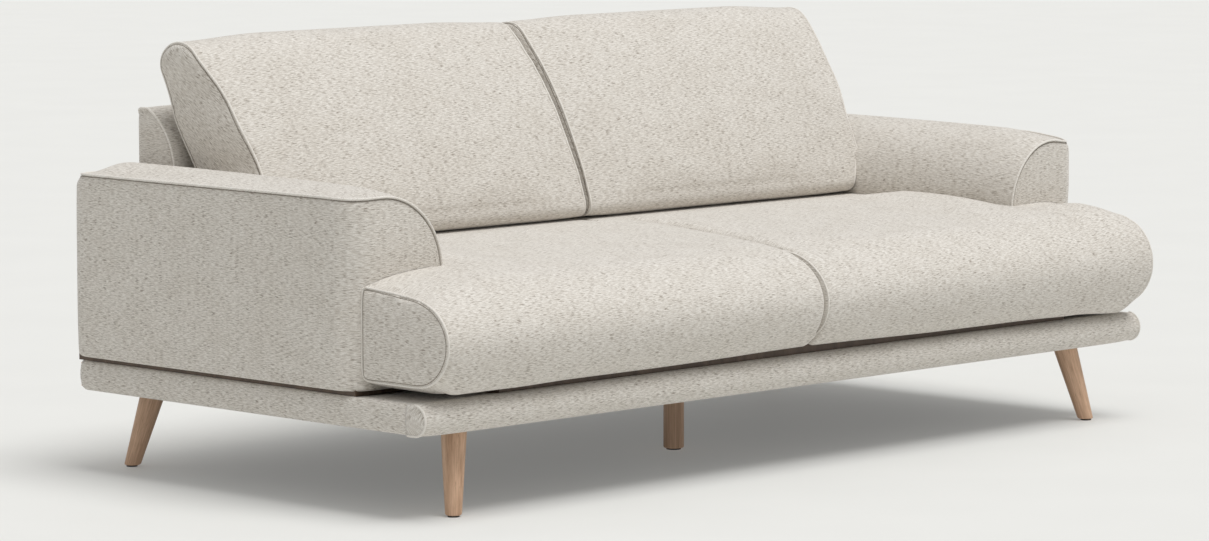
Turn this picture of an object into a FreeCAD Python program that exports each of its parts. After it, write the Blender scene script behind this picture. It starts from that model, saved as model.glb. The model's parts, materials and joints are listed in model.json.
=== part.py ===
import FreeCAD, Part
import math
import os

# Three-seat sofa on splayed wooden legs, with two T-shaped seat cushions and two loose back
# cushions. Millimetres, +Z up. X runs across the sofa, and the seat faces -Y. The origin is on
# the floor, under the middle of the whole sofa. Solids for the right half are built at +X, and
# the left half is their mirror image.

os.makedirs("parts", exist_ok=True)

# Driving dimensions
HALF_WIDTH = 1056.0          # outer side of an arm
FRONT = -530.0               # front of the seat cushions
REAR = 530.0                 # back of the arms, back and platform
PLATFORM_BOTTOM = 163.0
PLATFORM_TOP = 221.0
PLATFORM_HALF = 1042.0
PLATFORM_FRONT = -480.0
ARM_BOTTOM = 230.0           # leaves a shadow gap above the platform
ARM_SEAM = 588.0             # piped edge along the outer side
ARM_CREST = 611.0
ARM_FRONT = -302.0
SEAT_HALF = 830.0            # inner side of an arm
BACK_HALF = 880.0
BACK_FRONT = 406.0
BACK_TOP = 708.0
BACK_EDGE = 28.0             # radius of the back's rear top edge
CUSHION_BOTTOM = 245.0
CUSHION_REAR = 392.0
NOSE_Z = 330.0               # furthest forward line of a seat cushion
NOSE_ABOVE = 101.0           # radius of its front edge above that line
NOSE_BELOW = NOSE_Z - CUSHION_BOTTOM
EAR_HALF = 1028.0            # outer end of a seat cushion, in front of the arm
BACK_CUSHION_HALF = 885.0    # outer end of a back cushion, above the arm
ARM_CLEARANCE = 620.0        # underside of the part of a back cushion that overhangs the arm
SOFT_GAP = 0.5               # between soft pieces that move apart
COVER_THICKNESS = 4.0        # cushion cover with its fibre wrap

# Platform timber
TIMBER_BOTTOM = 168.0
TIMBER_TOP = 215.0
RAIL_OUTER = 1030.0
RAIL_INNER = 1000.0
FRONT_RAIL = (-466.0, -430.0)
REAR_RAIL = (486.0, 516.0)
CENTRE_RAIL_HALF = 50.0
BLOCK_INNER = 780.0
BLOCK_DEPTH = 106.0

# Deck timber, on top of the platform between the arms
DECK_TOP = 243.0
DECK_HALF = 826.0
DECK_RAIL = 40.0
DECK_FRONT = -450.0
DECK_REAR = 400.0
SPRING_Z = 233.0
SPRING_WIRE = 1.9            # radius
SPRING_RUNS = 30
SPRING_REACH = 14.0          # half of a spring's straight run
SPRING_X = (140.0, 310.0, 480.0, 650.0)
SPRING_END = 6.0             # from a rail to a spring's first run
CLIP_DEPTH = 10.0

# Arm timber, inside the padding
ARM_INSIDE = 892.0
ARM_OUTSIDE = 1036.0
ARM_BOARD = 18.0
ARM_BOARD_FRONT = -284.0
ARM_BOARD_REAR = 515.0
ARM_BOARD_TOP = 562.0
ARM_BOTTOM_RAIL_TOP = 255.0
ARM_TOP_RAIL = 40.0

# Back timber, inside the padding
POST_OUTER = 862.0
POST_INNER = 822.0
BACK_INSIDE = 424.0
BACK_OUTSIDE = 512.0
WEBBING = 2.5
BACK_BOARD_TOP = 668.0
BACK_RAIL = 43.0
BACK_BOTTOM_RAIL_TOP = 275.0
STRAP_WIDTH = 60.0
STRAP_PITCH = 160.0

# Legs
FOOT_X = 926.0
FOOT_FRONT = -431.0
FOOT_REAR = 489.0
LEG_SPLAY = 34.0             # how far the top of a leg stands inside its foot, each way
LEG_TOP = 165.0
FOOT_RADIUS = 15.7
LEG_RADIUS = 25.2
GLIDE = 3.0
GLIDE_RADIUS = 11.0
PLATE = 60.0
CENTRE_LEG_Y = -110.0
CENTRE_LEG_RADIUS = 21.0
FOOT_FILLET = 2.0
CENTRE_CHAMFER = 3.0
BOLT_RADIUS = 4.0
BOLT_IN_LEG = 32.0
BOLT_IN_TIMBER = 28.0
SCREW_RADIUS = 2.2
SCREW_HEAD = 4.0             # radius
SCREW_HEAD_HEIGHT = 1.6
SCREW_LENGTH = 18.0          # in the timber
SCREW_INSET = 8.0            # from the plate's edges

# Bolts between the frames: two up into each arm, and two from each back post into the arm
ARM_BOLT_X = 1015.0
ARM_BOLT_Y = (-180.0, 300.0)
ARM_BOLT_HEAD = 6.0
SIDE_BOLT_Y = 470.0
SIDE_BOLT_LOW = (248.0, 940.0)     # height, and how far out it reaches
SIDE_BOLT_HIGH = (542.0, 1010.0)

# Zips
ZIP_WIDTH = 30.0
ZIP_TAPE = 1.2
ZIP_CHAIN = 6.0
ZIP_START = 130.0
ZIP_END = 700.0
ZIP_CHAIN_HEIGHT = 1.0
SEAT_ZIP_Z = 345.0
BACK_ZIP_PLACE = (320.0, 512.0)    # Y and Z on the rear of the back cushion
BACK_ZIP_TILT = -32.0


def vec(x, y, z):
    return FreeCAD.Vector(x, y, z)


def box(x0, x1, y0, y1, z0, z1):
    return Part.makeBox(x1 - x0, y1 - y0, z1 - z0, vec(x0, y0, z0))


def rod(start, end, radius):
    direction = end - start
    return Part.makeCylinder(radius, direction.Length, start, direction)


def mirrored(shape):
    """The same piece on the other side of the sofa."""
    return shape.mirror(vec(0, 0, 0), vec(1, 0, 0))


def outline(points, place):
    """A closed wire: points are corners, and a pair is an arc's middle and end."""
    edges = []
    here = place(points[0])
    for step in points[1:] + [points[0]]:
        if isinstance(step[0], tuple):
            middle = place(step[0])
            end = place(step[1])
            edges.append(Part.Arc(here, middle, end).toShape())
        else:
            end = place(step)
            if end.isEqual(here, 0.001):
                continue
            edges.append(Part.LineSegment(here, end).toShape())
        here = end
    return Part.Wire(edges)


def across(points, x0, x1, inset=0.0):
    """Side outline in Y and Z, shrunk by inset, carried along X."""
    face = Part.Face(outline(points, lambda p: vec(x0, p[0], p[1])))
    if inset:
        face = face.makeOffset2D(-inset)
    return face.extrude(vec(x1 - x0, 0, 0))


def along(points, y0, y1):
    """Front outline in X and Z, carried along Y."""
    face = Part.Face(outline(points, lambda p: vec(p[0], y0, p[1])))
    return face.extrude(vec(0, y1 - y0, 0))


def turn(centre, radius, start, end):
    """Middle and end of an arc about centre, between two headings in degrees."""
    def at(angle):
        heading = math.radians(angle)
        return (centre[0] + radius * math.cos(heading), centre[1] + radius * math.sin(heading))
    return (at((start + end) / 2), at(end))


def rounded_plan(x0, x1, y0, y1, z0, z1, front_radius, rear_radius):
    """Block with its two corners at x1 rounded in plan."""
    points = [
        (x0, y0),
        (x1 - front_radius, y0),
        turn((x1 - front_radius, y0 + front_radius), front_radius, -90, 0),
        (x1, y1 - rear_radius),
        turn((x1 - rear_radius, y1 - rear_radius), rear_radius, 0, 90),
        (x0, y1),
    ]
    face = Part.Face(outline(points, lambda p: vec(p[0], p[1], z0)))
    return face.extrude(vec(0, 0, z1 - z0))


def drill(shape, cutters):
    for cutter in cutters:
        shape = shape.cut(cutter)
    return shape


def save(name, shape):
    shape.exportStep("parts/" + name + ".step")


def save_pair(name, shape):
    save(name + "_right", shape)
    save(name + "_left", mirrored(shape))


# Legs and their fixings ---------------------------------------------------------------------

def leg_axis(foot_y):
    """Points on a splayed leg's axis at the floor and at the leg's top."""
    inward = -LEG_SPLAY if foot_y > 0 else LEG_SPLAY
    return vec(FOOT_X, foot_y, 0), vec(FOOT_X - LEG_SPLAY, foot_y + inward, LEG_TOP)


def splayed_leg(foot_y):
    foot, top = leg_axis(foot_y)
    axis = top - foot
    spare = 20.0
    taper = (LEG_RADIUS - FOOT_RADIUS) / axis.Length
    unit = FreeCAD.Vector(axis).normalize()
    cone = Part.makeCone(
        FOOT_RADIUS - taper * spare,
        LEG_RADIUS + taper * spare,
        axis.Length + 2 * spare,
        foot - unit * spare,
        axis,
    )
    leg = cone.common(box(0, HALF_WIDTH, FRONT, REAR, GLIDE, LEG_TOP))
    rim = [edge for edge in leg.Edges if abs(edge.BoundBox.ZMax - GLIDE) < 0.01]
    return leg.makeFillet(FOOT_FILLET, rim)


def leg_plate(x, y, size):
    return box(x - size / 2, x + size / 2, y - size / 2, y + size / 2, LEG_TOP, TIMBER_BOTTOM)


def plate_screws(x, y, size):
    """Four pan-head screws near a plate's corners, driven up into the timber."""
    reach = size / 2 - SCREW_INSET
    made = []
    for dx in (-reach, reach):
        for dy in (-reach, reach):
            start = vec(x + dx, y + dy, LEG_TOP)
            tip = vec(x + dx, y + dy, TIMBER_BOTTOM + SCREW_LENGTH)
            shank = rod(start, tip, SCREW_RADIUS)
            head = rod(start - vec(0, 0, SCREW_HEAD_HEIGHT), start, SCREW_HEAD)
            made.append(shank.fuse(head))
    return made


legs = {}
plates = []
bolts = []
screws = []
glides = []
for end, foot_y in (("front", FOOT_FRONT), ("rear", FOOT_REAR)):
    foot, top = leg_axis(foot_y)
    unit = FreeCAD.Vector(top - foot).normalize()
    bolt = rod(top - unit * BOLT_IN_LEG, top + unit * BOLT_IN_TIMBER, BOLT_RADIUS)
    plate = leg_plate(top.x, top.y, PLATE)
    fixings = plate_screws(top.x, top.y, PLATE)
    glide = Part.makeCylinder(GLIDE_RADIUS, GLIDE, vec(foot.x, foot.y, 0))
    legs[end] = splayed_leg(foot_y).cut(bolt)
    plates += [plate, mirrored(plate)]
    bolts += [bolt, mirrored(bolt)]
    screws += fixings + [mirrored(screw) for screw in fixings]
    glides += [glide, mirrored(glide)]

centre_bolt = rod(
    vec(0, CENTRE_LEG_Y, LEG_TOP - BOLT_IN_LEG),
    vec(0, CENTRE_LEG_Y, LEG_TOP + BOLT_IN_TIMBER),
    BOLT_RADIUS)
centre_leg = Part.makeCylinder(CENTRE_LEG_RADIUS, LEG_TOP - GLIDE, vec(0, CENTRE_LEG_Y, GLIDE))
centre_rim = [edge for edge in centre_leg.Edges if abs(edge.BoundBox.ZMax - GLIDE) < 0.01]
centre_leg = centre_leg.makeChamfer(CENTRE_CHAMFER, centre_rim).cut(centre_bolt)
plates.append(leg_plate(0, CENTRE_LEG_Y, PLATE + 20))
bolts.append(centre_bolt)
screws += plate_screws(0, CENTRE_LEG_Y, PLATE + 20)
glides.append(Part.makeCylinder(GLIDE_RADIUS + 4, GLIDE, vec(0, CENTRE_LEG_Y, 0)))

plates = [drill(plate, bolts + screws) for plate in plates]
save_pair("leg_front", legs["front"])
save_pair("leg_rear", legs["rear"])
save("leg_centre", centre_leg)
save("leg_plates", Part.makeCompound(plates))
save("leg_bolts", Part.makeCompound(bolts))
save("plate_screws", Part.makeCompound(screws))
save("leg_glides", Part.makeCompound(glides))

# Bolts that hold the arms to the platform and to the back -----------------------------------

frame_bolts = []
for y in ARM_BOLT_Y:
    start = vec(ARM_BOLT_X, y, TIMBER_BOTTOM)
    head = rod(start, start + vec(0, 0, ARM_BOLT_HEAD), 2 * BOLT_RADIUS)
    shank = rod(start, vec(ARM_BOLT_X, y, ARM_BOTTOM_RAIL_TOP - 8), BOLT_RADIUS)
    frame_bolts.append(head.fuse(shank))
side_bolts = []
for z, reach in (SIDE_BOLT_LOW, SIDE_BOLT_HIGH):
    side_bolts.append(rod(vec(POST_INNER + 6, SIDE_BOLT_Y, z), vec(reach, SIDE_BOLT_Y, z), BOLT_RADIUS))
frame_bolts += side_bolts
save("frame_bolts", Part.makeCompound(frame_bolts + [mirrored(bolt) for bolt in frame_bolts]))

# Platform timber ----------------------------------------------------------------------------

save("platform_front_rail", drill(
    box(-RAIL_OUTER, RAIL_OUTER, FRONT_RAIL[0], FRONT_RAIL[1], TIMBER_BOTTOM, TIMBER_TOP), screws))
save("platform_rear_rail",
     box(-RAIL_OUTER, RAIL_OUTER, REAR_RAIL[0], REAR_RAIL[1], TIMBER_BOTTOM, TIMBER_TOP))
save_pair("platform_side_rail", drill(
    box(RAIL_INNER, RAIL_OUTER, FRONT_RAIL[1], REAR_RAIL[0], TIMBER_BOTTOM, TIMBER_TOP), frame_bolts))
centre_rail = box(
    -CENTRE_RAIL_HALF, CENTRE_RAIL_HALF, FRONT_RAIL[1], REAR_RAIL[0], TIMBER_BOTTOM, TIMBER_TOP)
deck_beam = box(
    -CENTRE_RAIL_HALF, CENTRE_RAIL_HALF, DECK_FRONT + DECK_RAIL, DECK_REAR - DECK_RAIL, TIMBER_TOP, DECK_TOP)
save("platform_centre_rail", drill(centre_rail.fuse(deck_beam).removeSplitter(), [centre_bolt] + screws))

corner_blocks = []
for y0, y1 in ((FRONT_RAIL[1], FRONT_RAIL[1] + BLOCK_DEPTH), (REAR_RAIL[0] - BLOCK_DEPTH, REAR_RAIL[0])):
    block = box(BLOCK_INNER, RAIL_INNER, y0, y1, TIMBER_BOTTOM, TIMBER_TOP)
    block = drill(block, bolts + screws)
    corner_blocks += [block, mirrored(block)]
save("corner_blocks", Part.makeCompound(corner_blocks))

# Platform upholstery: four padded strips that wrap the rails ---------------------------------

half_height = (PLATFORM_TOP - PLATFORM_BOTTOM) / 2
nose_centre = (PLATFORM_FRONT + half_height, PLATFORM_BOTTOM + half_height)
nose = [
    (nose_centre[0], PLATFORM_BOTTOM),
    (REAR, PLATFORM_BOTTOM),
    (REAR, PLATFORM_TOP),
    (nose_centre[0], PLATFORM_TOP),
    turn(nose_centre, half_height, 90, 270),
]
half_plan = rounded_plan(
    0, PLATFORM_HALF, PLATFORM_FRONT, REAR, PLATFORM_BOTTOM, PLATFORM_TOP, 16, 50)
plan = half_plan.fuse(mirrored(half_plan)).removeSplitter()
platform = across(nose, -PLATFORM_HALF, PLATFORM_HALF).common(plan)
timber = box(-RAIL_OUTER, RAIL_OUTER, FRONT_RAIL[0], REAR_RAIL[1], TIMBER_BOTTOM, TIMBER_TOP)
padding = platform.cut(timber)
save("platform_cover_front", padding.common(
    box(-PLATFORM_HALF, PLATFORM_HALF, PLATFORM_FRONT, FRONT_RAIL[1], PLATFORM_BOTTOM, PLATFORM_TOP)))
save("platform_cover_rear", padding.common(
    box(-PLATFORM_HALF, PLATFORM_HALF, REAR_RAIL[0], REAR, PLATFORM_BOTTOM, PLATFORM_TOP)))
save_pair("platform_cover", drill(padding.common(
    box(RAIL_INNER, PLATFORM_HALF, FRONT_RAIL[1], REAR_RAIL[0], PLATFORM_BOTTOM, PLATFORM_TOP)), frame_bolts))

dust_cover = box(
    -RAIL_INNER, RAIL_INNER, FRONT_RAIL[1], REAR_RAIL[0], TIMBER_BOTTOM - 1, TIMBER_BOTTOM)
for plate in plates:
    room = plate.BoundBox
    dust_cover = dust_cover.cut(
        box(room.XMin - 2, room.XMax + 2, room.YMin - 2, room.YMax + 2, room.ZMin, room.ZMax))
save("dust_cover", dust_cover)

# Deck: rails, zigzag springs, clips and cloth ------------------------------------------------

save("deck_front_rail", box(
    -DECK_HALF, DECK_HALF, DECK_FRONT, DECK_FRONT + DECK_RAIL, PLATFORM_TOP, DECK_TOP))
save("deck_rear_rail", box(
    -DECK_HALF, DECK_HALF, DECK_REAR - DECK_RAIL, DECK_REAR, PLATFORM_TOP, DECK_TOP))
save_pair("deck_side_rail", box(
    DECK_HALF - DECK_RAIL, DECK_HALF,
    DECK_FRONT + DECK_RAIL, DECK_REAR - DECK_RAIL,
    PLATFORM_TOP, DECK_TOP))
save("deck_cloth", box(-DECK_HALF, DECK_HALF, DECK_FRONT, DECK_REAR, DECK_TOP, CUSHION_BOTTOM))


def zigzag_spring(x):
    """Wire of straight runs across the sofa, joined by half circles, from rail to rail."""
    start = DECK_FRONT + DECK_RAIL + SPRING_END
    pitch = (DECK_REAR - DECK_FRONT - 2 * (DECK_RAIL + SPRING_END)) / SPRING_RUNS
    edges = []
    side = -1
    for run in range(SPRING_RUNS + 1):
        y = start + run * pitch
        tail = vec(x + side * SPRING_REACH, y, SPRING_Z)
        head = vec(x - side * SPRING_REACH, y, SPRING_Z)
        edges.append(Part.LineSegment(tail, head).toShape())
        if run < SPRING_RUNS:
            middle = vec(x - side * (SPRING_REACH + pitch / 2), y + pitch / 2, SPRING_Z)
            turn_end = vec(head.x, y + pitch, SPRING_Z)
            edges.append(Part.Arc(head, middle, turn_end).toShape())
        side = -side
    path = Part.Wire(edges)
    section = Part.Wire(Part.makeCircle(SPRING_WIRE, vec(x - SPRING_REACH, start, SPRING_Z), vec(1, 0, 0)))
    return path.makePipeShell([section], True, True)


first_spring = zigzag_spring(SPRING_X[0])
springs = []
clips = []
for x in SPRING_X:
    spring = first_spring.copy()
    spring.translate(vec(x - SPRING_X[0], 0, 0))
    springs += [spring, mirrored(spring)]
    for y0, wire_y in (
        (DECK_FRONT + DECK_RAIL, DECK_FRONT + DECK_RAIL + SPRING_END),
        (DECK_REAR - DECK_RAIL - CLIP_DEPTH, DECK_REAR - DECK_RAIL - SPRING_END),
    ):
        reach = SPRING_REACH - 4
        clip = box(x - reach, x + reach, y0, y0 + CLIP_DEPTH, SPRING_Z - 5, SPRING_Z + 6)
        wire = rod(
            vec(x - SPRING_REACH, wire_y, SPRING_Z), vec(x + SPRING_REACH, wire_y, SPRING_Z), SPRING_WIRE)
        clip = clip.cut(wire)
        clips += [clip, mirrored(clip)]
save("seat_springs", Part.makeCompound(springs))
save("spring_clips", Part.makeCompound(clips))

# Arms ----------------------------------------------------------------------------------------

arm_section = [
    (SEAT_HALF, ARM_BOTTOM),
    (HALF_WIDTH, ARM_BOTTOM),
    (HALF_WIDTH, ARM_SEAM),
    ((1015.0, 605.0), (960.0, ARM_CREST)),
    ((872.0, 567.0), (SEAT_HALF, 470.0)),
]
arm_plan = rounded_plan(SEAT_HALF, HALF_WIDTH, ARM_FRONT, REAR, ARM_BOTTOM, ARM_CREST + 1, 60, 60)
arm = along(arm_section, ARM_FRONT, REAR).common(arm_plan)
arm = arm.cut(box(SEAT_HALF, BACK_HALF, BACK_FRONT, REAR, ARM_BOTTOM, ARM_CREST + 1))

board_section = [
    (ARM_INSIDE, PLATFORM_TOP),
    (ARM_OUTSIDE, PLATFORM_TOP),
    (ARM_OUTSIDE, ARM_BOARD_TOP),
    (980.0, ARM_BOARD_TOP),
    ((929.0, 551.0), (ARM_INSIDE, 524.0)),
]
cavity = along(board_section, ARM_BOARD_FRONT, ARM_BOARD_REAR)
arm_core = cavity.common(box(
    0, HALF_WIDTH, FRONT, REAR, ARM_BOTTOM_RAIL_TOP, ARM_BOARD_TOP))
save_pair("arm_cover", drill(arm.cut(cavity), side_bolts))
save_pair("arm_front_board", arm_core.common(box(
    0, HALF_WIDTH, ARM_BOARD_FRONT, ARM_BOARD_FRONT + ARM_BOARD, 0, ARM_CREST)))
save_pair("arm_rear_board", arm_core.common(box(
    0, HALF_WIDTH, ARM_BOARD_REAR - ARM_BOARD, ARM_BOARD_REAR, 0, ARM_CREST)))
save_pair("arm_bottom_rail", drill(cavity.common(box(
    0, HALF_WIDTH, FRONT, REAR, PLATFORM_TOP, ARM_BOTTOM_RAIL_TOP)), frame_bolts))
save_pair("arm_top_rail", drill(box(
    ARM_OUTSIDE - ARM_TOP_RAIL, ARM_OUTSIDE,
    ARM_BOARD_FRONT + ARM_BOARD, ARM_BOARD_REAR - ARM_BOARD,
    ARM_BOARD_TOP - ARM_TOP_RAIL, ARM_BOARD_TOP), side_bolts))

# Back ----------------------------------------------------------------------------------------

back_section = [
    (BACK_FRONT, ARM_BOTTOM),
    (REAR, ARM_BOTTOM),
    (REAR, BACK_TOP - BACK_EDGE),
    turn((REAR - BACK_EDGE, BACK_TOP - BACK_EDGE), BACK_EDGE, 0, 90),
    (REAR - 45, BACK_TOP),
    ((436.0, 668.0), (BACK_FRONT, 590.0)),
]
back = across(back_section, -BACK_HALF, BACK_HALF)
back_timber_section = [
    (BACK_INSIDE, PLATFORM_TOP),
    (BACK_OUTSIDE, PLATFORM_TOP),
    (BACK_OUTSIDE, BACK_BOARD_TOP),
    (BACK_INSIDE + 36, BACK_BOARD_TOP),
    (BACK_INSIDE, 600.0),
]
back_cavity = across(back_timber_section, -POST_OUTER, POST_OUTER)
all_side_bolts = side_bolts + [mirrored(bolt) for bolt in side_bolts]
save("back_cover", drill(back.cut(back_cavity), all_side_bolts))
save_pair("back_post", drill(back_cavity.common(box(
    POST_INNER, POST_OUTER, BACK_INSIDE, BACK_OUTSIDE, PLATFORM_TOP, BACK_BOARD_TOP)), side_bolts))
save("back_top_rail", box(
    -POST_INNER, POST_INNER, BACK_OUTSIDE - BACK_RAIL, BACK_OUTSIDE,
    BACK_BOARD_TOP - BACK_RAIL, BACK_BOARD_TOP))
save("back_bottom_rail", box(
    -POST_INNER, POST_INNER, BACK_INSIDE + WEBBING, BACK_OUTSIDE,
    PLATFORM_TOP, BACK_BOTTOM_RAIL_TOP))
straps = []
for count in range(5):
    x = count * STRAP_PITCH + STRAP_PITCH / 2
    strap_section = [
        (BACK_INSIDE, PLATFORM_TOP + 15),
        (BACK_INSIDE + WEBBING, PLATFORM_TOP + 15),
        (BACK_INSIDE + WEBBING, 598.0),
        (BACK_OUTSIDE - BACK_RAIL, 656.0),
        (BACK_OUTSIDE - BACK_RAIL, 661.0),
        (BACK_INSIDE, 600.0),
    ]
    strap = across(strap_section, x - STRAP_WIDTH / 2, x + STRAP_WIDTH / 2)
    straps += [strap, mirrored(strap)]
save("back_webbing", Part.makeCompound(straps))

# Cushions ------------------------------------------------------------------------------------

seat_section = [
    (FRONT + NOSE_BELOW, CUSHION_BOTTOM),
    (CUSHION_REAR, CUSHION_BOTTOM),
    (CUSHION_REAR, 446.0),
    ((-40.0, 458.0), (FRONT + NOSE_ABOVE, NOSE_Z + NOSE_ABOVE)),
    turn((FRONT + NOSE_ABOVE, NOSE_Z), NOSE_ABOVE, 90, 180),
    turn((FRONT + NOSE_BELOW, NOSE_Z), NOSE_BELOW, 180, 270),
]


def seat_cushion(inset):
    """T-shaped cushion: full width in front of the arm, and between the arms behind."""
    block = across(seat_section, SOFT_GAP + inset, EAR_HALF - inset, inset)
    return block.cut(box(
        SEAT_HALF - SOFT_GAP - inset, HALF_WIDTH,
        ARM_FRONT - SOFT_GAP - inset, REAR,
        0, ARM_CREST))


back_cushion_section = [
    (162.0, 461.0),
    (266.0, 461.0),
    ((284.0, 466.0), (296.0, 482.0)),
    ((410.0, 680.0), (446.0, 775.0)),
    ((392.0, 862.0), (322.0, 824.0)),
    ((192.0, 640.0), (122.0, 492.0)),
    ((134.0, 471.0), (162.0, 461.0)),
]


def back_cushion(inset):
    """Reclined cushion: between the arms below, and over the arm's inner edge above."""
    lower = across(back_cushion_section, SOFT_GAP + inset, SEAT_HALF - SOFT_GAP - inset, inset)
    upper = across(back_cushion_section, SOFT_GAP + inset, BACK_CUSHION_HALF - inset, inset)
    upper = upper.common(box(0, HALF_WIDTH, FRONT, REAR, ARM_CLEARANCE + inset, 1000))
    return lower.fuse(upper).removeSplitter()


def zip_fastener(place):
    """Tape with a raised chain, and its slider with a pull tab, laid flat and then placed."""
    tape = box(ZIP_START, ZIP_END, 0, ZIP_TAPE, -ZIP_WIDTH / 2, ZIP_WIDTH / 2)
    chain = box(ZIP_START, ZIP_END, ZIP_TAPE, ZIP_TAPE + ZIP_CHAIN_HEIGHT, -ZIP_CHAIN / 2, ZIP_CHAIN / 2)
    body = box(ZIP_START + 4, ZIP_START + 18, 2.5, 6.0, -5, 5)
    neck = box(ZIP_START + 8, ZIP_START + 14, 6.0, 7.0, -5, 2)
    tab = box(ZIP_START + 7, ZIP_START + 15, 7.0, 8.4, -32, 2)
    fastener = tape.fuse(chain).removeSplitter()
    slider = body.fuse([neck, tab]).removeSplitter()
    for piece in (fastener, slider):
        piece.Placement = place
    return fastener, slider


upright = FreeCAD.Rotation(vec(1, 0, 0), 0)
tilted = FreeCAD.Rotation(vec(1, 0, 0), BACK_ZIP_TILT)
for name, cushion, place in (
    ("seat", seat_cushion, FreeCAD.Placement(vec(0, CUSHION_REAR, SEAT_ZIP_Z), upright)),
    ("back", back_cushion, FreeCAD.Placement(vec(0, *BACK_ZIP_PLACE), tilted)),
):
    outer = cushion(0)
    core = cushion(COVER_THICKNESS)
    fastener, slider = zip_fastener(place)
    save_pair(name + "_cushion_cover", outer.cut(core))
    save_pair(name + "_cushion_core", core)
    save_pair(name + "_zip", fastener)
    save_pair(name + "_zip_slider", slider)
    print(name, "cushion volumes, litres:", round(outer.Volume / 1e6, 1), round(core.Volume / 1e6, 1))
    print(name, "zip inside the cushion, mm3:", round(outer.common(fastener).Volume, 1))
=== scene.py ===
import json
import math

import bmesh
import bpy
import numpy as np
from mathutils import Matrix, Vector
from mathutils.bvhtree import BVHTree


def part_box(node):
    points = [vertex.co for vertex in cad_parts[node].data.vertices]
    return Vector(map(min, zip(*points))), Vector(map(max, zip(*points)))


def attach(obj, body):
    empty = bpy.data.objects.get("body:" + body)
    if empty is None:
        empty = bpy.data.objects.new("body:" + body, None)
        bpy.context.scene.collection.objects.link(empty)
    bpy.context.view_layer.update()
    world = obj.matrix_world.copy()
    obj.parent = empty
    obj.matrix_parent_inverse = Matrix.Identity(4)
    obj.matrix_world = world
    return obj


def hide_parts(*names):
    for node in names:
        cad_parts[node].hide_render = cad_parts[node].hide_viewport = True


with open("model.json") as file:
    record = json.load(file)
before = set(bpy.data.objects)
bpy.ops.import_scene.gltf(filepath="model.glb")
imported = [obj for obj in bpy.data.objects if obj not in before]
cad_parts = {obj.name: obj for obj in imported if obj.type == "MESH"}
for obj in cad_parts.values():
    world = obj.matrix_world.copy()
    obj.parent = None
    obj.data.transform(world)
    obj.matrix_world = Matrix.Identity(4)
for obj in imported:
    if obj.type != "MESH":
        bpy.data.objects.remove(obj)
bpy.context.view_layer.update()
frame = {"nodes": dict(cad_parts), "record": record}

# Three-seat sofa: padded platform, rounded arms, low back, two T-shaped seat cushions and two
# reclined back cushions in a heathered chenille, on splayed round wooden legs. Metres. The right
# half is worked out at +X, and the left half is its mirror image. After that the right seat cushion's
# ear and the right arm's front corner get a slightly different shape of their own.

ARM_LOW, ARM_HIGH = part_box("arm_cover_right")
BACK_LOW, BACK_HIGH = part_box("back_cover")
SEAT_LOW, SEAT_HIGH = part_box("seat_cushion_cover_right")
PILLOW_LOW, PILLOW_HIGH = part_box("back_cushion_cover_right")
NOSE_LOW, NOSE_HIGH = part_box("platform_cover_front")
PLATFORM_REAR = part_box("platform_cover_rear")[1].y

WELT = 0.0024                # radius of the piping
STITCH = 0.0008              # radius of the sunk stitching beside it, a dark cord that is partly painted shade of the seam
STITCH_GAP = 0.0042          # from the middle of the piping to the stitching
PIPING_STEP = 0.006          # spacing of the points along the piping
CLOTH = 0.003                # thickness given to upholstery that isn't a closed pad
HEM = 0.008                  # radius of a lower edge where the cloth is turned in
PRESSURE = 4.0               # of the cloth simulation that blows the pads up
ARM_ROLL = 0.150             # radius of an arm's round inner top corner, seen from the front
ARM_SEAM = ARM_HIGH.z - 0.022
ARM_CORNER = 0.060           # radius of its upright corners in plan
ARM_DEPTH = ARM_HIGH.y - ARM_LOW.y
WEAVE = "cloth"              # name of the UV map that the weave follows, in metres


# Meshes ---------------------------------------------------------------------------------------

def lattice(rows, columns, wrap_rows=False, wrap_columns=False):
    """Quads between neighbouring points of a rows by columns grid, as an array of four indices."""
    row = np.arange(rows if wrap_rows else rows - 1)
    column = np.arange(columns if wrap_columns else columns - 1)
    r, c = np.meshgrid(row, column, indexing="ij")
    r, c = r.ravel(), c.ravel()
    r2, c2 = (r + 1) % rows, (c + 1) % columns
    return np.stack([r * columns + c, r2 * columns + c, r2 * columns + c2, r * columns + c2], 1)


def lengths(points, axis):
    """Distance run along an axis of a grid of points, starting at 0."""
    step = np.linalg.norm(np.diff(points, axis=axis), axis=2)
    run = np.cumsum(step, axis=axis)
    start = np.zeros_like(np.take(run, [0], axis=axis))
    return np.concatenate([start, run], axis=axis)


def piece(name, sheets, material, inside):
    """One mesh object from several grids of points. A sheet is its points and whether the weave is
    turned to run down the grid's rows. Each vertex carries its place in the cloth, in metres along and
    across the weave, as a UV map. Each sheet's faces look away from the point inside."""
    verts, quads, cloth = [], [], []
    count = 0
    for points, turned in sheets:
        cross = np.cross(points[1:, :-1] - points[:-1, :-1], points[:-1, 1:] - points[:-1, :-1])
        if (cross * (points[:-1, :-1] - np.array(inside))).sum() < 0:
            points = points[:, ::-1]
        rows, columns = points.shape[:2]
        verts.append(points.reshape(-1, 3))
        quads.append(lattice(rows, columns) + count)
        across = lengths(points, 0)
        along = lengths(points, 1)
        pair = np.stack([along - along[:, columns // 2:columns // 2 + 1], across], 2).reshape(-1, 2)
        cloth.append(pair[:, ::-1] if turned else pair)
        count += rows * columns
    return finished(name, np.concatenate(verts), np.concatenate(quads), np.concatenate(cloth), material)


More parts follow.
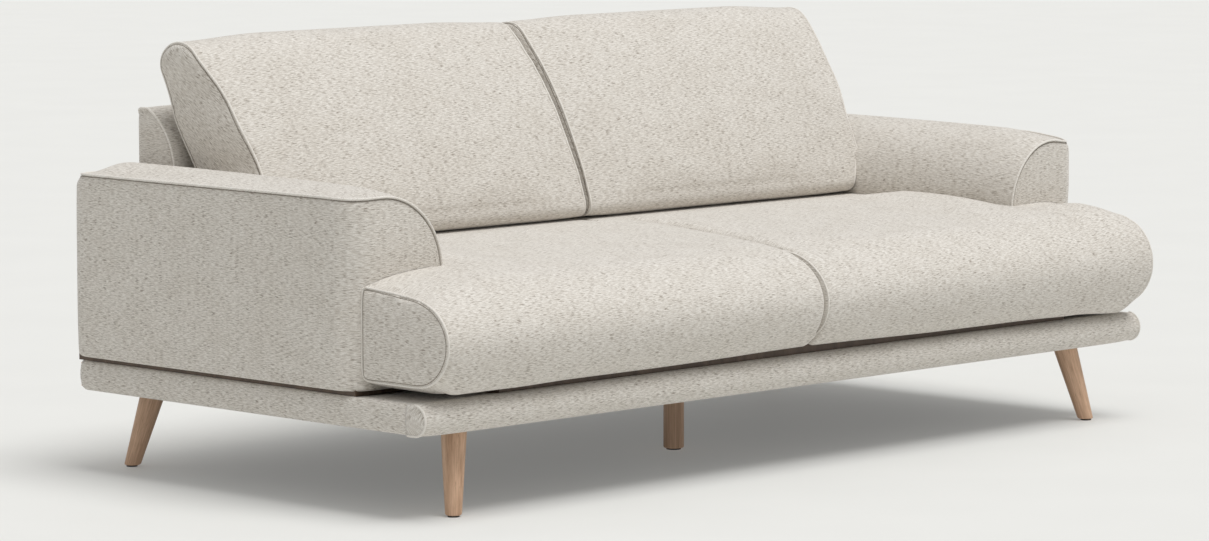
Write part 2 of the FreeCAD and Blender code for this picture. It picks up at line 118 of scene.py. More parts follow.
def finished(name, verts, faces, cloth, material):
    """A smooth-shaded object from its points and faces, with its place in the cloth as a UV map."""
    mesh = bpy.data.meshes.new(name)
    mesh.from_pydata(verts.tolist(), [], faces.tolist())
    mesh.polygons.foreach_set("use_smooth", np.ones(len(mesh.polygons), bool))
    if cloth is not None:
        corner = np.zeros(len(mesh.loops), np.int32)
        mesh.loops.foreach_get("vertex_index", corner)
        layer = mesh.uv_layers.new(name=WEAVE)
        layer.data.foreach_set("uv", cloth[corner].astype(np.float32).ravel())
    mesh.materials.append(material)
    obj = bpy.data.objects.new(name, mesh)
    bpy.context.scene.collection.objects.link(obj)
    mesh.update()
    return obj


def coordinates(mesh):
    """A mesh's points as rows of X, Y and Z."""
    flat = np.zeros(len(mesh.vertices) * 3)
    mesh.vertices.foreach_get("co", flat)
    return flat.reshape(-1, 3)


def mirror_image(obj, name):
    """A copy on the other side of the sofa, with its faces turned so that they still point outwards."""
    mesh = obj.data.copy()
    mesh.transform(Matrix.Scale(-1, 4, Vector((1, 0, 0))))
    mesh.flip_normals()
    mesh.name = name
    twin = bpy.data.objects.new(name, mesh)
    bpy.context.scene.collection.objects.link(twin)
    for modifier in obj.modifiers:
        copy = twin.modifiers.new(modifier.name, modifier.type)
        if modifier.type == "SOLIDIFY":
            copy.thickness = modifier.thickness
            copy.offset = modifier.offset
    return twin


def backed(obj, thickness=CLOTH):
    """Gives an open sheet of upholstery its thickness inwards, so that it is a closed shell."""
    shell = obj.modifiers.new("Thickness", "SOLIDIFY")
    shell.thickness = thickness
    shell.offset = -1
    return obj


def even(points, spacing, closed=False):
    """A line of points spaced evenly along a path, by linear interpolation over its length."""
    points = np.asarray(points, float)
    if closed:
        points = np.concatenate([points, points[:1]])
    run = np.concatenate([[0], np.cumsum(np.linalg.norm(np.diff(points, axis=0), axis=1))])
    count = max(int(run[-1] / spacing), 8)
    at = np.linspace(0, run[-1], count + 1)
    line = np.stack([np.interp(at, run, points[:, k]) for k in range(3)], 1)
    return line[:-1] if closed else line


def tube(path, radius, closed=False, sides=8):
    """A round cord along a path: at each point a circle lies in the plane square to the path, turned
    as little as possible from one point to the next."""
    path = np.asarray(path)
    if closed:
        tangent = np.roll(path, -1, 0) - np.roll(path, 1, 0)
    else:
        tangent = np.gradient(path, axis=0)
    tangent /= np.linalg.norm(tangent, axis=1, keepdims=True)
    normal = np.zeros_like(path)
    guide = np.array([0.31, 0.17, 0.93])
    normal[0] = np.cross(tangent[0], guide)
    normal[0] /= np.linalg.norm(normal[0])
    for k in range(1, len(path)):
        carried = normal[k - 1] - tangent[k] * np.dot(normal[k - 1], tangent[k])
        normal[k] = carried / np.linalg.norm(carried)
    binormal = np.cross(tangent, normal)
    angle = np.linspace(0, 2 * math.pi, sides, endpoint=False)
    ring = normal[:, None] * np.cos(angle)[None, :, None] + binormal[:, None] * np.sin(angle)[None, :, None]
    return path[:, None] + radius * ring


def welt(name, path, material, closed=False, radius=WELT):
    """A piped seam: a thin cord that follows the edge of a panel."""
    line = even(path, PIPING_STEP, closed)
    rings = tube(line, radius, closed)
    faces = lattice(rings.shape[0], rings.shape[1], closed, True)[:, ::-1]
    cloth = np.stack([lengths(rings, 1), lengths(rings, 0)], 2).reshape(-1, 2)
    obj = finished(name, rings.reshape(-1, 3), faces, cloth, material)
    if not closed:
        capped = bmesh.new()
        capped.from_mesh(obj.data)
        bmesh.ops.holes_fill(capped, edges=[edge for edge in capped.edges if edge.is_boundary])
        capped.to_mesh(obj.data)
        capped.free()
    return obj


def ease(value):
    """Smooth step from 0 to 1."""
    value = np.clip(value, 0, 1)
    return value * value * (3 - 2 * value)


def arc(centre, radius, start, end, count):
    """Points of a circle between two headings in degrees, in a plane."""
    heading = np.radians(np.linspace(start, end, count))
    return np.stack([centre[0] + radius * np.cos(heading), centre[1] + radius * np.sin(heading)], 1)


def arc_through(a, b, c, count):
    """Points of the circle through a, b and c, from a to c."""
    a, b, c = (np.asarray(p, float) for p in (a, b, c))
    matrix = 2 * np.array([b - a, c - a])
    centre = np.linalg.solve(matrix, [b @ b - a @ a, c @ c - a @ a])
    radius = np.linalg.norm(a - centre)
    first, mid, last = (math.atan2(*(p - centre)[::-1]) for p in (a, b, c))
    sweep = (last - first) % (2 * math.pi)
    if (mid - first) % (2 * math.pi) > sweep:
        sweep -= 2 * math.pi
    return arc(centre, radius, math.degrees(first), math.degrees(first + sweep), count)


# Materials ------------------------------------------------------------------------------------

def linear(red, green, blue):
    """A colour given in 0 to 255 as it looks on a screen, turned into a linear one."""
    value = np.array([red, green, blue]) / 255
    value = np.where(value <= 0.04045, value / 12.92, ((value + 0.055) / 1.055) ** 2.4)
    return (*value.tolist(), 1.0)


class Nodes:
    """Adds nodes to a material's or a group's tree and links them by socket."""

    def __init__(self, tree):
        self.tree = tree

    def add(self, kind, **settings):
        node = self.tree.nodes.new(kind)
        for key, value in settings.items():
            setattr(node, key, value)
        return node

    def link(self, source, target):
        self.tree.links.new(source, target)

    def math(self, operation, first, second=0.0):
        node = self.add("ShaderNodeMath", operation=operation)
        for socket, value in zip(node.inputs, (first, second)):
            if isinstance(value, (int, float)):
                socket.default_value = value
            else:
                self.link(value, socket)
        return node.outputs[0]

    def noise(self, vector, scale, detail=2.0, roughness=0.5, distortion=0.0, dimensions="3D"):
        node = self.add("ShaderNodeTexNoise", noise_dimensions=dimensions)
        node.inputs["Scale"].default_value = scale
        node.inputs["Detail"].default_value = detail
        node.inputs["Roughness"].default_value = roughness
        node.inputs["Distortion"].default_value = distortion
        self.link(vector, node.inputs["Vector"])
        return node.outputs["Fac"]

    def stretched(self, vector, scale):
        node = self.add("ShaderNodeMapping")
        node.inputs["Scale"].default_value = scale
        self.link(vector, node.inputs["Vector"])
        return node.outputs[0]

    def ramp(self, factor, stops):
        node = self.add("ShaderNodeValToRGB")
        elements = node.color_ramp.elements
        while len(elements) < len(stops):
            elements.new(0.5)
        for element, (position, colour) in zip(elements, stops):
            element.position = position
            element.color = colour
        self.link(factor, node.inputs[0])
        return node.outputs["Color"]

    def mix(self, factor, first, second, blend="MIX"):
        node = self.add("ShaderNodeMix", data_type="RGBA", blend_type=blend)
        for socket, value in ((node.inputs[0], factor), (node.inputs[6], first), (node.inputs[7], second)):
            if isinstance(value, (int, float, tuple)):
                socket.default_value = value
            else:
                self.link(value, socket)
        return node.outputs[2]

    def span(self, value, low, high, new_low=0.0, new_high=1.0):
        node = self.add("ShaderNodeMapRange")
        for socket, number in zip(node.inputs[1:5], (low, high, new_low, new_high)):
            socket.default_value = number
        self.link(value, node.inputs[0])
        return node.outputs[0]


def group(name, inputs, outputs):
    """An empty shader group with its sockets, and the Nodes helper, inputs and outputs inside it."""
    tree = bpy.data.node_groups.new(name, "ShaderNodeTree")
    for socket, kind, default in inputs:
        made = tree.interface.new_socket(socket, in_out="INPUT", socket_type=kind)
        if default is not None:
            made.default_value = default
    for socket, kind in outputs:
        tree.interface.new_socket(socket, in_out="OUTPUT", socket_type=kind)
    nodes = Nodes(tree)
    return tree, nodes, nodes.add("NodeGroupInput").outputs, nodes.add("NodeGroupOutput").inputs


def chenille_group():
    """Heathered chenille: short wavy streaks along the weft, in three tones, over a fine fleece. It puts
    out the colour and the height of the pile."""
    tree, n, given, out = group(
        "Chenille",
        [("Cloth", "NodeSocketVector", None),
         ("Dark", "NodeSocketColor", linear(160, 151, 140)),
         ("Body", "NodeSocketColor", linear(213, 207, 198)),
         ("Light", "NodeSocketColor", linear(236, 232, 225)),
         ("Flecks", "NodeSocketFloat", 1.0)],
        [("Color", "NodeSocketColor"), ("Height", "NodeSocketFloat")])
    cloth = given["Cloth"]
    sway = n.noise(n.stretched(cloth, (55, 55, 1)), 1.0, 1.0, dimensions="2D")
    shifted = n.add("ShaderNodeVectorMath", operation="ADD")
    lift = n.add("ShaderNodeCombineXYZ")
    n.link(n.math("MULTIPLY", n.math("SUBTRACT", sway, 0.5), 0.0028), lift.inputs[1])
    n.link(cloth, shifted.inputs[0])
    n.link(lift.outputs[0], shifted.inputs[1])
    wavy = shifted.outputs[0]
    streak = n.noise(n.stretched(wavy, (84, 560, 1)), 1.0, 1.5, 0.6, dimensions="2D")
    second = n.noise(n.stretched(wavy, (72, 640, 1)), 1.0, 1.5, 0.6, dimensions="2D")
    fine = n.noise(n.stretched(wavy, (700, 1500, 1)), 1.0, 2.0, 0.6, dimensions="2D")
    patch = n.noise(n.stretched(cloth, (9, 14, 1)), 1.0, 3.0, 0.6, dimensions="2D")
    body = n.mix(n.span(streak, 0.40, 0.62), given["Body"], given["Light"])
    bunched = n.noise(n.stretched(cloth, (22, 40, 1)), 1.0, 2.0, dimensions="2D")
    gather = n.span(bunched, 0.35, 0.65, 0.55, 1.15)
    dark = n.math("MULTIPLY", n.math("MULTIPLY", n.span(second, 0.46, 0.28), gather), given["Flecks"])
    colour = n.mix(dark, body, given["Dark"])
    grain = n.ramp(fine, [(0.30, linear(218, 216, 213)), (0.62, linear(255, 255, 255))])
    colour = n.mix(0.7, colour, grain, "MULTIPLY")
    cloud = n.ramp(patch, [(0.35, linear(241, 239, 236)), (0.60, linear(255, 255, 255))])
    colour = n.mix(0.3, colour, cloud, "MULTIPLY")
    n.link(colour, out["Color"])
    pile = n.math("ADD", n.math("MULTIPLY", streak, 0.7), n.math("MULTIPLY", fine, 0.3))
    n.link(n.math("ADD", pile, n.math("MULTIPLY", second, 0.5)), out["Height"])
    return tree


def wood_group():
    """Straight-grained hardwood: long fibres and fine pores along Z, with slow bands across. It puts
    out colour, roughness and height."""
    tree, n, given, out = group(
        "Straight grain",
        [("Grain", "NodeSocketVector", None),
         ("Early", "NodeSocketColor", linear(226, 190, 160)),
         ("Late", "NodeSocketColor", linear(198, 161, 131))],
        [("Color", "NodeSocketColor"), ("Roughness", "NodeSocketFloat"), ("Height", "NodeSocketFloat")])
    grain = given["Grain"]
    bands = n.noise(n.stretched(grain, (48, 48, 2.4)), 1.0, 3.0, 0.55, 0.6)
    fibres = n.noise(n.stretched(grain, (420, 420, 9)), 1.0, 3.0, 0.6)
    pores = n.noise(n.stretched(grain, (900, 900, 30)), 1.0, 1.0, 0.5)
    base = n.mix(n.span(bands, 0.35, 0.65), given["Early"], given["Late"])
    thread = n.ramp(fibres, [(0.30, linear(205, 196, 188)), (0.65, linear(255, 255, 255))])
    colour = n.mix(0.75, base, thread, "MULTIPLY")
    pits = n.span(pores, 0.32, 0.24)
    colour = n.mix(n.math("MULTIPLY", pits, 0.55), colour, linear(96, 66, 46))
    n.link(colour, out["Color"])
    n.link(n.span(fibres, 0.2, 0.8, 0.42, 0.58), out["Roughness"])
    n.link(n.math("SUBTRACT", n.math("MULTIPLY", fibres, 0.4), pits), out["Height"])
    return tree


def metal_group():
    """Plated steel: cloudy zinc with fine scratches. It puts out colour, roughness and height."""
    tree, n, given, out = group(
        "Plated steel",
        [("Place", "NodeSocketVector", None),
         ("Tint", "NodeSocketColor", linear(190, 191, 190))],
        [("Color", "NodeSocketColor"), ("Roughness", "NodeSocketFloat"), ("Height", "NodeSocketFloat")])
    cloud = n.noise(given["Place"], 60, 3.0, 0.6)
    scratch = n.noise(n.stretched(given["Place"], (900, 60, 900)), 1.0, 2.0, 0.5)
    shade = n.ramp(cloud, [(0.30, linear(196, 196, 198)), (0.70, linear(255, 255, 255))])
    n.link(n.mix(1.0, given["Tint"], shade, "MULTIPLY"), out["Color"])
    n.link(n.span(scratch, 0.3, 0.7, 0.28, 0.46), out["Roughness"])
    n.link(scratch, out["Height"])
    return tree


GROUPS = {"chenille": chenille_group(), "wood": wood_group(), "metal": metal_group()}


def material(name, roughness=0.8, **sockets):
    """A material with its Principled shader; constants go straight onto the shader's sockets."""
    made = bpy.data.materials.new(name)
    made.use_nodes = True
    nodes = Nodes(made.node_tree)
    shader = made.node_tree.nodes["Principled BSDF"]
    shader.inputs["Roughness"].default_value = roughness
    for socket, value in sockets.items():
        shader.inputs[socket.replace("_", " ")].default_value = value
    return made, nodes, shader


def bump(nodes, shader, height, strength, distance):
    """Raises a surface's look by a height in its own node tree."""
    node = nodes.add("ShaderNodeBump")
    node.inputs["Strength"].default_value = strength
    node.inputs["Distance"].default_value = distance
    nodes.link(height, node.inputs["Height"])
    nodes.link(node.outputs["Normal"], shader.inputs["Normal"])


def placed(nodes, name, **colours):
    """A shader group put into a material, with its colours set."""
    node = nodes.add("ShaderNodeGroup", node_tree=GROUPS[name])
    for socket, colour in colours.items():
        node.inputs[socket].default_value = colour
    return node


def cloth_material(name, strength=0.55, distance=0.0009, **colours):
    """The chenille on a piece's own cloth coordinates, with the soft sheen of its pile."""
    made, nodes, shader = material(name, 0.92, Sheen_Weight=0.25, Sheen_Roughness=0.5)
    shader.inputs["Specular IOR Level"].default_value = 0.15
    weave = nodes.add("ShaderNodeUVMap", uv_map=WEAVE)
    yarn = placed(nodes, "chenille", **colours)
    nodes.link(weave.outputs[0], yarn.inputs["Cloth"])
    nodes.link(yarn.outputs["Color"], shader.inputs["Base Color"])
    bump(nodes, shader, yarn.outputs["Height"], strength, distance)
    return made


def wood_material(name, attribute=None, **colours):
    """Timber whose grain runs along Z of an attribute, or of the object itself."""
    made, nodes, shader = material(name, 0.5)
    if attribute:
        source = nodes.add("ShaderNodeAttribute", attribute_name=attribute).outputs["Vector"]
    else:
        source = nodes.add("ShaderNodeTexCoord").outputs["Object"]
    timber = placed(nodes, "wood", **colours)
    nodes.link(source, timber.inputs["Grain"])
    nodes.link(timber.outputs["Color"], shader.inputs["Base Color"])
    nodes.link(timber.outputs["Roughness"], shader.inputs["Roughness"])
    bump(nodes, shader, timber.outputs["Height"], 0.25, 0.0003)
    return made


def metal_material(name, tint):
    """Plated or oiled metal on the object's own axes."""
    made, nodes, shader = material(name, 0.35, Metallic=1.0)
    place = nodes.add("ShaderNodeTexCoord").outputs["Object"]
    plate = placed(nodes, "metal", Tint=tint)
    nodes.link(place, plate.inputs["Place"])
    nodes.link(plate.outputs["Color"], shader.inputs["Base Color"])
    nodes.link(plate.outputs["Roughness"], shader.inputs["Roughness"])
    bump(nodes, shader, plate.outputs["Height"], 0.15, 0.0002)
    return made


def grainy_material(name, dark, light, scale, roughness=0.9, stretch=(1, 1, 1)):
    """Foam, spun lining or moulded plastic: two tones by a fine noise on the object's own axes."""
    made, nodes, shader = material(name, roughness)
    place = nodes.add("ShaderNodeTexCoord").outputs["Object"]
    spread = nodes.noise(nodes.stretched(place, stretch), scale, 4.0, 0.65)
    nodes.link(nodes.ramp(spread, [(0.35, dark), (0.65, light)]), shader.inputs["Base Color"])
    bump(nodes, shader, spread, 0.35, 0.0005)
    return made


CHENILLE = cloth_material("Greige chenille")
# piping in a lighter copy of the chenille: the lighter tone is a painted highlight along the seam edges
PIPING_HIGHLIGHT = cloth_material(
    "Greige piping", 0.4, 0.0005,
    Dark=linear(214, 208, 198), Body=linear(232, 227, 219), Light=linear(242, 239, 233))
# sunk stitching: a cord much darker than the cloth, partly the stitching and partly painted shade of the
# seam's groove
SEAM_SHADE_THREAD = cloth_material(
    "Sunk stitching", 0.2, 0.0003,
    Dark=linear(112, 103, 93), Body=linear(142, 133, 122), Light=linear(158, 150, 140))
OAK = wood_material("Oiled hardwood", "grain")


# Cushions: simulated pads ---------------------------------------------------------------------

def prism(outline, x_low, x_high):
    """A closed solid: an outline in Y and Z carried along X."""
    count = len(outline)
    low = np.column_stack([np.full(count, x_low), outline])
    high = np.column_stack([np.full(count, x_high), outline])
    verts = np.concatenate([low, high])
    ring = np.arange(count)
    after = (ring + 1) % count
    sides = np.stack([ring, after, after + count, ring + count], 1).tolist()
    return verts, sides + [ring[::-1].tolist(), (ring + count).tolist()]


def remeshed(name, solids, voxel):
    """The union of closed solids as one even mesh, by voxels."""
    verts, faces, count = [], [], 0
    for points, sides in solids:
        verts += points.tolist()
        faces += [[index + count for index in side] for side in sides]
        count += len(points)
    mesh = bpy.data.meshes.new(name)
    mesh.from_pydata(verts, [], faces)
    pad = bpy.data.objects.new(name, mesh)
    bpy.context.scene.collection.objects.link(pad)
    fix = bmesh.new()
    fix.from_mesh(mesh)
    bmesh.ops.recalc_face_normals(fix, faces=fix.faces)
    fix.to_mesh(mesh)
    fix.free()
    remesh = pad.modifiers.new("Remesh", "REMESH")
    remesh.mode = "VOXEL"
    remesh.voxel_size = voxel
    apply_modifiers(pad)
    return pad


def apply_modifiers(obj):
    """Makes the modifiers' result the object's own mesh."""
    made = bpy.data.meshes.new_from_object(obj.evaluated_get(bpy.context.evaluated_depsgraph_get()))
    obj.modifiers.clear()
    obj.data = made


def seam_distance(points, lines):
    """Distance from each point to the nearest of the lines."""
    dense = np.concatenate([even(line, 0.004, closed=True) for line in lines])
    nearest = np.zeros(len(points))
    for start in range(0, len(points), 3000):
        part = points[start:start + 3000]
        square = ((part[:, None] - dense[None]) ** 2).sum(2)
        nearest[start:start + 3000] = np.sqrt(square.min(1))
    return nearest


def inflated(pad, seams, cap, reach):
    """Blows a pad up as cloth that is held within reach of its seams. What is kept is how far each
    point moves straight out of the pad's skin, smoothed, and no more than cap."""
    rest = coordinates(pad.data)
    gap = seam_distance(rest, seams)
    normal = np.zeros(rest.size)
    pad.data.vertices.foreach_get("normal", normal)
    normal = normal.reshape(-1, 3)
    pins = pad.vertex_groups.new(name="seams")
    pins.add(np.nonzero(gap < reach)[0].tolist(), 1.0, "REPLACE")
    cloth = pad.modifiers.new("Cloth", "CLOTH")
    cloth.settings.quality = 5
    cloth.settings.mass = 0.3
    cloth.settings.tension_stiffness = 12
    cloth.settings.compression_stiffness = 12
    cloth.settings.bending_stiffness = 0.5
    cloth.settings.use_pressure = True
    cloth.settings.uniform_pressure_force = PRESSURE
    cloth.settings.vertex_group_mass = "seams"
    cloth.settings.effector_weights.gravity = 0
    cloth.collision_settings.use_collision = False
    cloth.collision_settings.use_self_collision = False
    scene = bpy.context.scene
    for step in range(1, 21):
        scene.frame_set(step)
    moved = coordinates(pad.evaluated_get(bpy.context.evaluated_depsgraph_get()).data)
    pad.modifiers.clear()
    scene.frame_set(1)
    push = ((moved - rest) * normal).sum(1, keepdims=True)
    push = smoothed(pad.data, np.clip(push, 0, cap), 12)
    print(pad.name, "swelled by", round(float(push.mean()) * 1000, 1), "mm")
    return rest + normal * push


def smoothed(mesh, values, rounds):
    """Averages a value at each vertex with its neighbours', several times."""
    edges = np.zeros(len(mesh.edges) * 2, np.int32)
    mesh.edges.foreach_get("vertices", edges)
    edges = edges.reshape(-1, 2)
    both = np.concatenate([edges, edges[:, ::-1]])
    degree = np.bincount(both[:, 0], minlength=len(values))[:, None]
    for _ in range(rounds):
        total = np.bincount(both[:, 0], weights=values[both[:, 1], 0], minlength=len(values))[:, None]
        values = 0.5 * values + 0.5 * total / degree
    return values


def domed(x, rest_x, end_x, points, outline, height, reach):
    """Pushes an end panel out along X, by a quarter sine wave of the distance from its seam: nothing
    at the seam, and height once reach from it."""
    on_end = np.abs(rest_x - end_x) < 0.002
    ring = np.column_stack([np.zeros(len(outline)), outline])
    flat = points[on_end] * (0, 1, 1)
    gap = seam_distance(flat, [ring])
    x = x.copy()
    x[on_end] += height * np.sin(0.5 * math.pi * np.clip(gap / reach, 0, 1))
    return x


def weave_map(mesh, outline, slant):
    """Cloth coordinates for a simulated pad: on its ends the weave runs along Y, turned up by slant
    degrees, and everywhere else along X, with the distance round the outline as the other coordinate.
    Upright faces at the rear that stand off the outline, as an ear's back does, take their height."""
    corner = np.zeros(len(mesh.loops), np.int32)
    mesh.loops.foreach_get("vertex_index", corner)
    normal = np.zeros(len(mesh.polygons) * 3)
    mesh.polygons.foreach_get("normal", normal)
    total = np.zeros(len(mesh.polygons), np.int32)
    mesh.polygons.foreach_get("loop_total", total)
    is_end = np.repeat(np.abs(normal[0::3]) > 0.72, total)
    is_rear = np.repeat(normal[1::3] > 0.72, total)
    points = coordinates(mesh)
    ring = even(np.column_stack([np.zeros(len(outline)), outline]), 0.004, closed=True)[:, 1:]
    run = np.concatenate([[0], np.cumsum(np.linalg.norm(np.diff(ring, axis=0), axis=1))])
    around = np.zeros(len(points))
    apart = np.zeros(len(points))
    for start in range(0, len(points), 4000):
        part = points[start:start + 4000, None, 1:]
        square = ((part - ring[None]) ** 2).sum(2)
        best = square.argmin(1)
        direction = ring[(best + 1) % len(ring)] - ring[best - 1]
        direction /= np.linalg.norm(direction, axis=1, keepdims=True)
        offset = ((part[:, 0] - ring[best]) * direction).sum(1)
        around[start:start + 4000] = run[best] + offset
        apart[start:start + 4000] = np.sqrt(square.min(1))
    wrap = np.column_stack([points[:, 0], around])[corner]
    cos, sin = math.cos(math.radians(slant)), math.sin(math.radians(slant))
    y, z = points[:, 1], points[:, 2]
    end = np.column_stack([y * cos + z * sin, z * cos - y * sin + 3.0])[corner]
    rear = np.column_stack([points[:, 0], points[:, 2] + 5.0])[corner]
    wrap = np.where((is_rear & (apart[corner] > 0.03))[:, None], rear, wrap)
    layer = mesh.uv_layers.new(name=WEAVE)
    layer.data.foreach_set("uv", np.where(is_end[:, None], end, wrap).astype(np.float32).ravel())


def on_surface(pad, line, lift):
    """Moves the points of a line onto the nearest place of a pad's surface, and out of it by lift."""
    finder = BVHTree.FromObject(pad, bpy.context.evaluated_depsgraph_get())
    places = []
    for point in line:
        place, normal, _, _ = finder.find_nearest(Vector(point))
        places.append(place + normal * lift)
    return np.array([tuple(place) for place in places])


def soften(line, rounds=3):
    """Averages the points of a closed line with their neighbours."""
    for _ in range(rounds):
        line = 0.5 * line + 0.25 * (np.roll(line, 1, 0) + np.roll(line, -1, 0))
    return line


def subdivided(obj):
    """Splits every face in four and rounds the mesh off."""
    sub = obj.modifiers.new("Subdivision", "SUBSURF")
    sub.levels = 1
    sub.render_levels = 1
    apply_modifiers(obj)


def dressed(obj, material_used):
    """Shades a pad smooth and gives it its only material."""
    obj.data.polygons.foreach_set("use_smooth", np.ones(len(obj.data.polygons), bool))
    obj.data.materials.clear()
    obj.data.materials.append(material_used)
    obj.data.update()


def shrunk(outline, amount):
    """An outline moved inwards along its own normals."""
    ahead = np.roll(outline, -1, 0) - np.roll(outline, 1, 0)
    ahead /= np.linalg.norm(ahead, axis=1, keepdims=True)
    y, z = outline.T
    area = 0.5 * np.sum(y * np.roll(z, -1) - np.roll(y, -1) * z)
    inward = np.column_stack([-ahead[:, 1], ahead[:, 0]]) * np.sign(area)
    return outline + inward * amount


# Seat cushions --------------------------------------------------------------------------------

SEAT_FRONT = SEAT_LOW.y
SEAT_REAR = SEAT_HIGH.y
SEAT_BOTTOM = SEAT_LOW.z
SEAT_CREST = SEAT_HIGH.z
SEAT_SWELL = 0.013           # how far the pad may be blown up
SEAM_INSET = 0.003           # how far the unblown pad lies inside the outline
EAR_END = SEAT_HIGH.x - 0.002
EAR_BACK = ARM_LOW.y + 0.020     # the ear is made a little too deep, then pressed against the arm
EAR_FALL = 0.028             # how much lower the top is at the end of the ear
SEAT_CROWN = 0.026           # rise of the top's curve in the middle of the pad
SEAM_CROWN = 0.012           # and at its end seams
SEAT_MESH = 0.0095           # spacing of the pad's points before it is blown up
NOSE_HEIGHT = SEAT_BOTTOM + 0.085
UNDER_DEPTH = 0.095          # how far back the round front edge reaches below the nose
NOSE_SAG = 0.022             # how far the front edge hangs below the deck that it overhangs
DECK_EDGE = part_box("deck_front_rail")[0].y + 0.004
DECK_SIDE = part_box("deck_front_rail")[1].x
PRESSED = SEAT_CREST - 0.008     # top of a seat cushion under its back cushion
NOSE_DEPTH = 0.130           # how far back the round front edge reaches along the top


def seat_outline(top_rise):
    """Side view of a seat cushion, counter-clockwise from its bottom front: a quarter ellipse below
    the nose, a longer one above it, a gently crowned top and an upright rear."""
    under = arc((0, 0), 1, 180, 270, 14) * (UNDER_DEPTH, NOSE_HEIGHT - SEAT_BOTTOM)
    under = under + (SEAT_FRONT + UNDER_DEPTH, NOSE_HEIGHT)
    top = SEAT_CREST - 0.030
    over = arc((0, 0), 1, 90, 180, 18) * (NOSE_DEPTH, top - NOSE_HEIGHT)
    over = over + (SEAT_FRONT + NOSE_DEPTH, NOSE_HEIGHT)
    run = np.linspace(1, 0, 30)[:, None]
    crown = np.array([[SEAT_FRONT + NOSE_DEPTH, top]]) * (1 - run) + np.array([[SEAT_REAR, top]]) * run
    crown[:, 1] += top_rise * np.sin(math.pi * np.clip(run[:, 0] * 0.88, 0, 1)) ** 0.8
    along = np.linspace(SEAT_FRONT + UNDER_DEPTH, SEAT_REAR, 26)
    bottom = np.column_stack([along, np.full(26, SEAT_BOTTOM)])
    rear = np.column_stack([np.full(10, SEAT_REAR), np.linspace(SEAT_BOTTOM, crown[0, 1], 10)])
    return np.concatenate([bottom[:-1], rear[:-1], crown[:-1], over[:-1], under[:-1]])


def arm_front(x):
    """Y of the arm's front at an X, round its upright outer corner."""
    past = np.clip(x - (ARM_HIGH.x - ARM_CORNER), 0, ARM_CORNER)
    return ARM_LOW.y + ARM_CORNER - np.sqrt(ARM_CORNER ** 2 - past ** 2)


def ear_part(outline):
    """The part of a seat cushion's outline in front of the arm, closed by an upright line with its two
    corners eased."""
    dense = even(np.column_stack([np.zeros(len(outline)), outline]), 0.003, closed=True)[:, 1:]
    kept = dense[dense[:, 0] < EAR_BACK]
    order = np.argsort(np.arctan2(kept[:, 1] - NOSE_HEIGHT, kept[:, 0] - (SEAT_FRONT + 0.12)))
    kept = kept[order]
    seam = int(np.argmax(np.linalg.norm(np.roll(kept, -1, 0) - kept, axis=1)))
    kept = np.roll(kept, -seam - 1, 0)
    rise = np.linspace(0, 1, 40)[1:-1, None]
    line = kept[-1] * (1 - rise) + kept[0] * rise
    whole = np.concatenate([kept, line])
    whole = even(np.column_stack([np.zeros(len(whole)), whole]), 0.006, True)
    return soften(whole[:, 1:], 4)


